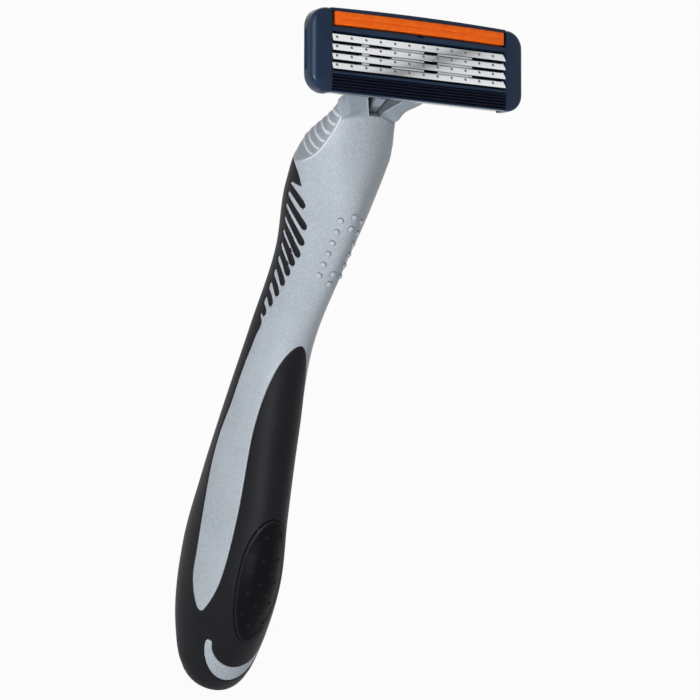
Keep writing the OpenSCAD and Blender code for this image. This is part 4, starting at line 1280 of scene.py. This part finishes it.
def bearingLug(side):  # round eye for a pivot pin on a block from the cartridge's back
    bore, ease = base["boreRadius"], base["lugEase"]
    r = bore + base["lugWall"]
    t = np.linspace(0, 2 * math.pi, base["lugSides"], endpoint=False)
    c, s = np.cos(t), np.sin(t)
    reach = cartridge["pivotBack"] + base["lugRoot"]
    square = np.minimum(r / np.maximum(np.abs(c), 1e-6), reach / np.maximum(s, 1e-6))
    outer = np.where(s > 0, square, r)
    x0, x1 = base["lugAt"], base["lugAt"] + base["lugWide"]
    rings = []
    for x, radius in ((x0, bore + ease), (x0, outer - ease), (x0 + ease, outer), (x1 - ease, outer),
                      (x1, outer - ease), (x1, bore + ease), (x1 - ease, bore), (x0 + ease, bore)):
        rings.append(onFace(np.column_stack([
            np.full(len(t), side * x), cartridge["pivotUp"] + radius * c,
            -cartridge["deep"] - cartridge["pivotBack"] + radius * s])))
    points, faces = loftRings(rings + [rings[0]])
    mesh = meshFrom("bearing_lug", points, faces[:-2])
    bm = bmesh.new()
    bm.from_mesh(mesh)
    bmesh.ops.remove_doubles(bm, verts=bm.verts[:], dist=1e-7)
    bm.to_mesh(mesh)
    bm.free()
    return addObject("bearing_lug", mesh)


def baseBody():  # the bars and the window in one outline, with rinse slots and notches
    deep, drop = cartridge["deep"], cartridge["lipDrop"]
    guardFloor, stripFloor = -cartridge["guardDeep"], -cartridge["stripDeep"]
    barTop, barFoot = stripLow - base["barTop"], windowTop + base["barFoot"]
    outline = eased([
        (base["underRise"] - halfHigh, -deep), (-halfHigh, base["underOut"]), (-halfHigh, -drop),
        (guardLow, -drop), (guardLow, guardFloor), (guardTop, guardFloor), (guardTop, 0), (windowLow, 0),
        (windowLow, -windowDeep), (barFoot, -windowDeep), (barFoot, -drop / 2), (barTop, 0),
        (barTop, stripFloor), (stripTop, stripFloor), (stripTop, -drop / 2), (halfHigh, -drop),
        (halfHigh, -deep),
    ], base["ease"])
    body = bar("cartridge_body", outline, faceHalf, onFace, 0, faceBow)
    points = np.array([vert.co[:] for vert in body.data.vertices]) / mm
    # painted highlight along the bottom lip
    storeRim(body, (points - faceMiddle) @ faceUp < base["lipShine"] - halfHigh)
    for side in (-1, 1):
        low, high = sorted(side * x for x in base["rinse"])
        for slotLow, slotHigh in base["slots"]:
            carve(body, softBox("cut", (low, slotLow, -deep - 1), (high, slotHigh, -windowDeep + 1), onFace,
                                base["slotRound"], 4))
    n = base["notch"]
    for up, (low, high) in zip((stripTop, barTop), base["notchSpans"]):
        carve(body, softBox("cut", (-n, up + low, base["notchLow"]), (n, up + high, 1), onFace,
                            base["notchRound"]))
    return body


def makeBase():
    body = baseBody()
    deep, lap, inset = cartridge["deep"], base["lap"], cap["wall"] + cap["gap"]
    pieces = []
    for side in (-1, 1):                      # ends that the caps cover, open for the tabs of the supports
        pieces.append(endSolid("block", side, inset, faceHalf - lap, -deep, -windowDeep - lap))
        pieces.append(endSolid("block", side, inset, faceHalf + base["tabRoom"], -deep + 2 * lap,
                               -cap["front"] - cap["gap"]))
    w, d, rise = base["camWide"] / 2, base["camDeep"] / 2, base["camRise"]
    behind = -yoke["pivotBehind"] - yoke["shankFront"]
    pieces.append(softBox("cam", (-w, behind - d, rise), (w, behind + d, rise + cartridge["pivotBack"]),
                          onPivot, base["camEase"], 3))
    joinPieces(body, pieces + [bearingLug(-1), bearingLug(1)])
    finishPiece(body, navyPlastic, "cartridge", "cartridge_base")


def makeEndCap(name, node, side):  # rounded shell over the end of the cartridge
    c = cap
    low, ease = -c["deep"], 0.3 * c["back"]
    layers = [(c["back"], low), (ease, low + ease), (0, low + c["back"])]
    for a in np.radians(np.linspace(0, 90, 8)):
        layers.append((c["edge"] * (1 - math.cos(a)), -c["crown"] - c["edge"] * (1 - math.sin(a))))
    for t in np.linspace(0.2, 1, 5):
        layers.append((c["edge"] + t * (c["inside"] - c["edge"]), -c["crown"] * (1 - t) ** 2))
    rings = [endRing(side, inset, faceHalf + c["gap"], out) for inset, out in layers]
    obj = loftObject(name, rings)
    # painted highlight along the crest of the rounded edge
    crest = np.exp(-((np.arange(len(rings)) - c["crest"]) / c["crestWide"]) ** 2)
    along = np.zeros(len(rings[0]))
    along[c["arc"] - 3:c["arc"] + 5] = c["shine"]
    storeRim(obj, np.outer(crest, along))
    softEdges(obj)
    carve(obj, endSolid("cut", side, c["wall"], faceHalf - 1, low - 1, -c["front"]))
    edge = cartridge["wide"] / 2
    left, right = sorted((side * (edge - c["recessDeep"]), side * (edge + 1)))
    foot, top = c["recess"]
    carve(obj, softBox("cut", (left, foot, c["recessFrom"]), (right, top, c["recessTo"]), onFace,
                       c["recessRound"], 3))
    finishPiece(obj, navyPlastic, "cartridge", node, 30)


stripShape = dict(proud=0.25, ease=0.35, groove=0.12, endGap=0.7, gap=0.04, under=0.12)


def makeStrip():
    s = stripShape
    low, high = stripLow + s["under"], stripTop - s["gap"]
    middle = (low + high) / 2
    foot, top, groove = -cartridge["stripDeep"] + s["gap"], s["proud"], s["groove"]
    outline = eased([
        (low, foot), (low, top), (middle - groove, top), (middle, top - groove), (middle + groove, top),
        (high, top), (high, foot)], s["ease"])
    obj = bar("lubricant_strip", outline, faceHalf - s["endGap"], onFace, 0.08, faceBow)
    finishPiece(obj, orangeStrip, "cartridge", "lubricating_strip", 50)


guard = dict(ribs=5, foot=0.1, crown=0.3, gap=0.04, ease=0.08)


def makeGuard():
    g = guard
    low, high = guardLow + g["gap"], guardTop - g["gap"]
    pitch = (high - low) / g["ribs"]
    root, back = -cartridge["guardDeep"] / 2, -cartridge["guardDeep"] + g["gap"]
    corners = [(high, back), (low, back)]
    for i in range(g["ribs"]):
        u = low + pitch * i
        corners += [(u + g["foot"] * pitch, root), (u + g["crown"] * pitch, 0),
                    (u + (1 - g["crown"]) * pitch, 0), (u + (1 - g["foot"]) * pitch, root)]
    obj = bar("ribbed_guard", eased(corners, g["ease"], 3), faceHalf - g["gap"], onFace, 0.05)
    finishPiece(obj, guardRubber, "cartridge", "guard_fins", 40)


makeBase()
makeEndCap("left_cap", "left_end_cap", -1)
makeEndCap("right_cap", "right_end_cap", 1)
makeStrip()
makeGuard()
print("cartridge made")


# Blades: steel strips welded to bent supports
blades = dict(
    count=4, pitch=1.62, wide=1.35, thick=0.1, tilt=20, edge=0.3, endGap=0.15, travel=0.4,
    supportThick=0.25, setback=0.1, tabLong=0.9, tabTop=-1.28, legRoom=0.15, bend=0.16,
    welds=12, weldFirst=-17.3, weldPitch=2.99, weldAlong=0.78, weldRadius=0.27, weldHigh=0.03, weldSides=14,
    weldRings=((1, -0.03), (1, 0.3), (0.72, 0.9), (0.5, 1), (0.3, 0.5)),   # shares of the radius and height
    bridges=((-12.1, -10.6), (-5.9, 0.9), (3.8, 11.2)),
    bridgeDrop=0.5, bridgeThick=0.1, bridgeReach=0.33, bridgeBack=0.5, bridgeEase=0.03,
)


def bladeFrame(i):  # edge of blade i, with its direction back from the edge and its underside
    a = math.radians(blades["tilt"])
    back = np.array([math.cos(a), -math.sin(a)])
    under = np.array([-math.sin(a), -math.cos(a)])
    rows = blades["pitch"] * (blades["count"] - 1) + blades["wide"] * math.cos(a)
    first = (windowTop + windowLow) / 2 + rows / 2 - blades["wide"] * math.cos(a)
    return np.array([first - blades["pitch"] * i, 0]), back, under


def weldSpot(x, place, out):  # small flattened bead left by a spot weld
    turns = np.linspace(0, 2 * math.pi, blades["weldSides"], endpoint=False)
    rings = []
    for wide, high in blades["weldRings"]:
        radius = blades["weldRadius"] * wide
        flat = place + np.outer(radius * np.sin(turns), [out[1], -out[0]]) + out * blades["weldHigh"] * high
        rings.append(onFace(np.column_stack([x + radius * np.cos(turns), flat])))
    return loftObject("weld", rings)


def makeBlade(i):
    b = blades
    edge, back, under = bladeFrame(i)
    far, thick = edge + b["wide"] * back, b["thick"] * under
    outline = np.array([edge, far, far + thick, edge + b["edge"] * back + thick])
    obj = bar("blade_strip_%d" % (i + 1), outline, faceHalf - b["endGap"], onFace)
    for steel in (bladeSteel, weldSteel):
        obj.data.materials.append(steel)
    plain = len(obj.data.polygons)
    joinPieces(obj, [weldSpot(b["weldFirst"] + b["weldPitch"] * k, edge + b["weldAlong"] * back, -under)
                     for k in range(b["welds"])])
    for polygon in obj.data.polygons[plain:]:
        polygon.material_index = 1
    softEdges(obj)
    standFor(obj, "floating_blade_%d" % (i + 1), "blade_%d" % (i + 1))


def makeSupport(i):
    b = blades
    edge, back, under = bladeFrame(i)
    start = edge + b["thick"] * under
    top = start + b["wide"] * back
    front = start + (b["edge"] + b["setback"]) * back
    low = front + b["supportThick"] * under
    legLow = -windowDeep + b["travel"] + b["legRoom"]
    inside = top[0] - b["supportThick"]
    bendOut = low[1] - (inside - low[0]) * math.tan(math.radians(b["tilt"]))
    outline = eased([front, top, (top[0], legLow), (inside, legLow), (inside, bendOut), low], b["bend"])
    obj = bar("bent_support_%d" % (i + 1), outline, faceHalf - b["endGap"], onFace)
    tabTop = b["tabTop"]
    tab = np.array([(top[0], tabTop), (top[0], legLow), (inside, legLow), (inside, tabTop)])
    pieces = [bar("tab", tab, faceHalf + b["tabLong"], onFace)]
    drop = -b["bridgeDrop"]
    for x0, x1 in b["bridges"] if i < b["count"] - 1 else ():   # in the gap under the edge
        pieces.append(softBox("bridge", (x0, edge[0] - b["bridgeReach"], drop - b["bridgeThick"]),
                              (x1, edge[0] + b["bridgeBack"], drop), onFace, b["bridgeEase"]))
    joinPieces(obj, pieces)
    finishPiece(obj, supportSteel, "floating_blade_%d" % (i + 1), "blade_support_%d" % (i + 1))


for i in range(blades["count"]):
    makeBlade(i)
    makeSupport(i)
print("blades made")


# Studio: pale floor, white surround, soft lamps
studio = dict(
    floor=3.0, floorTone=tone(244, 245, 246), showFloor=0.95, ambient=0.22, aim=(0, 0, 0.08),
    lamps={                                   # power, size and place
        "key_lamp": (6.2, 0.35, (-0.62, -0.48, 0.1)),
        "fill_lamp": (0.2, 0.5, (0.5, -0.6, 0.3)),
        "back_lamp": (0.5, 0.4, (0.2, 0.6, 0.5)),
    },
)


def addFloor():
    half = studio["floor"] / 2
    corners = [(-half, -half, 0), (half, -half, 0), (half, half, 0), (-half, half, 0)]
    mesh = bpy.data.meshes.new("floor")
    mesh.from_pydata(corners, [], [(0, 1, 2, 3)])
    material, tree, shader = startMaterial("pale_floor", Roughness=0.9, Base_Color=studio["floorTone"])
    path = addNode(tree, "ShaderNodeLightPath")
    white = addNode(tree, "ShaderNodeEmission", Strength=1.0)
    mix = addNode(tree, "ShaderNodeMixShader")
    seen = calc(tree, "MAXIMUM", path.outputs["Is Camera Ray"], path.outputs["Is Glossy Ray"])
    feed(tree, calc(tree, "MULTIPLY", seen, studio["showFloor"]), mix.inputs[0])
    wire(tree, (shader, 0, mix, 1), (white, 0, mix, 2), (mix, 0, tree.nodes["Material Output"], "Surface"))
    addObject("floor", mesh, material)


def addWorld():
    world = bpy.data.worlds.new("white_room")
    world.use_nodes = True
    scene.world = world
    tree = world.node_tree
    back = tree.nodes["Background"]
    back.inputs["Color"].default_value = (1, 1, 1, 1)
    path = addNode(tree, "ShaderNodeLightPath")
    seen = calc(tree, "MAXIMUM", path.outputs["Is Camera Ray"], path.outputs["Is Glossy Ray"])
    seen = calc(tree, "MAXIMUM", seen, path.outputs["Is Transmission Ray"])
    feed(tree, remap(tree, seen, studio["ambient"], 1.0, 0, 1), back.inputs["Strength"])


def addLamp(name, power, size, place):
    data = bpy.data.lights.new(name, "AREA")
    data.energy = power
    data.size = size
    lamp = bpy.data.objects.new(name, data)
    scene.collection.objects.link(lamp)
    lamp.location = place
    lamp.rotation_euler = (Vector(studio["aim"]) - Vector(place)).to_track_quat("-Z", "Y").to_euler()


addFloor()
addWorld()
for name, lamp in studio["lamps"].items():
    addLamp(name, *lamp)
print("studio lit")
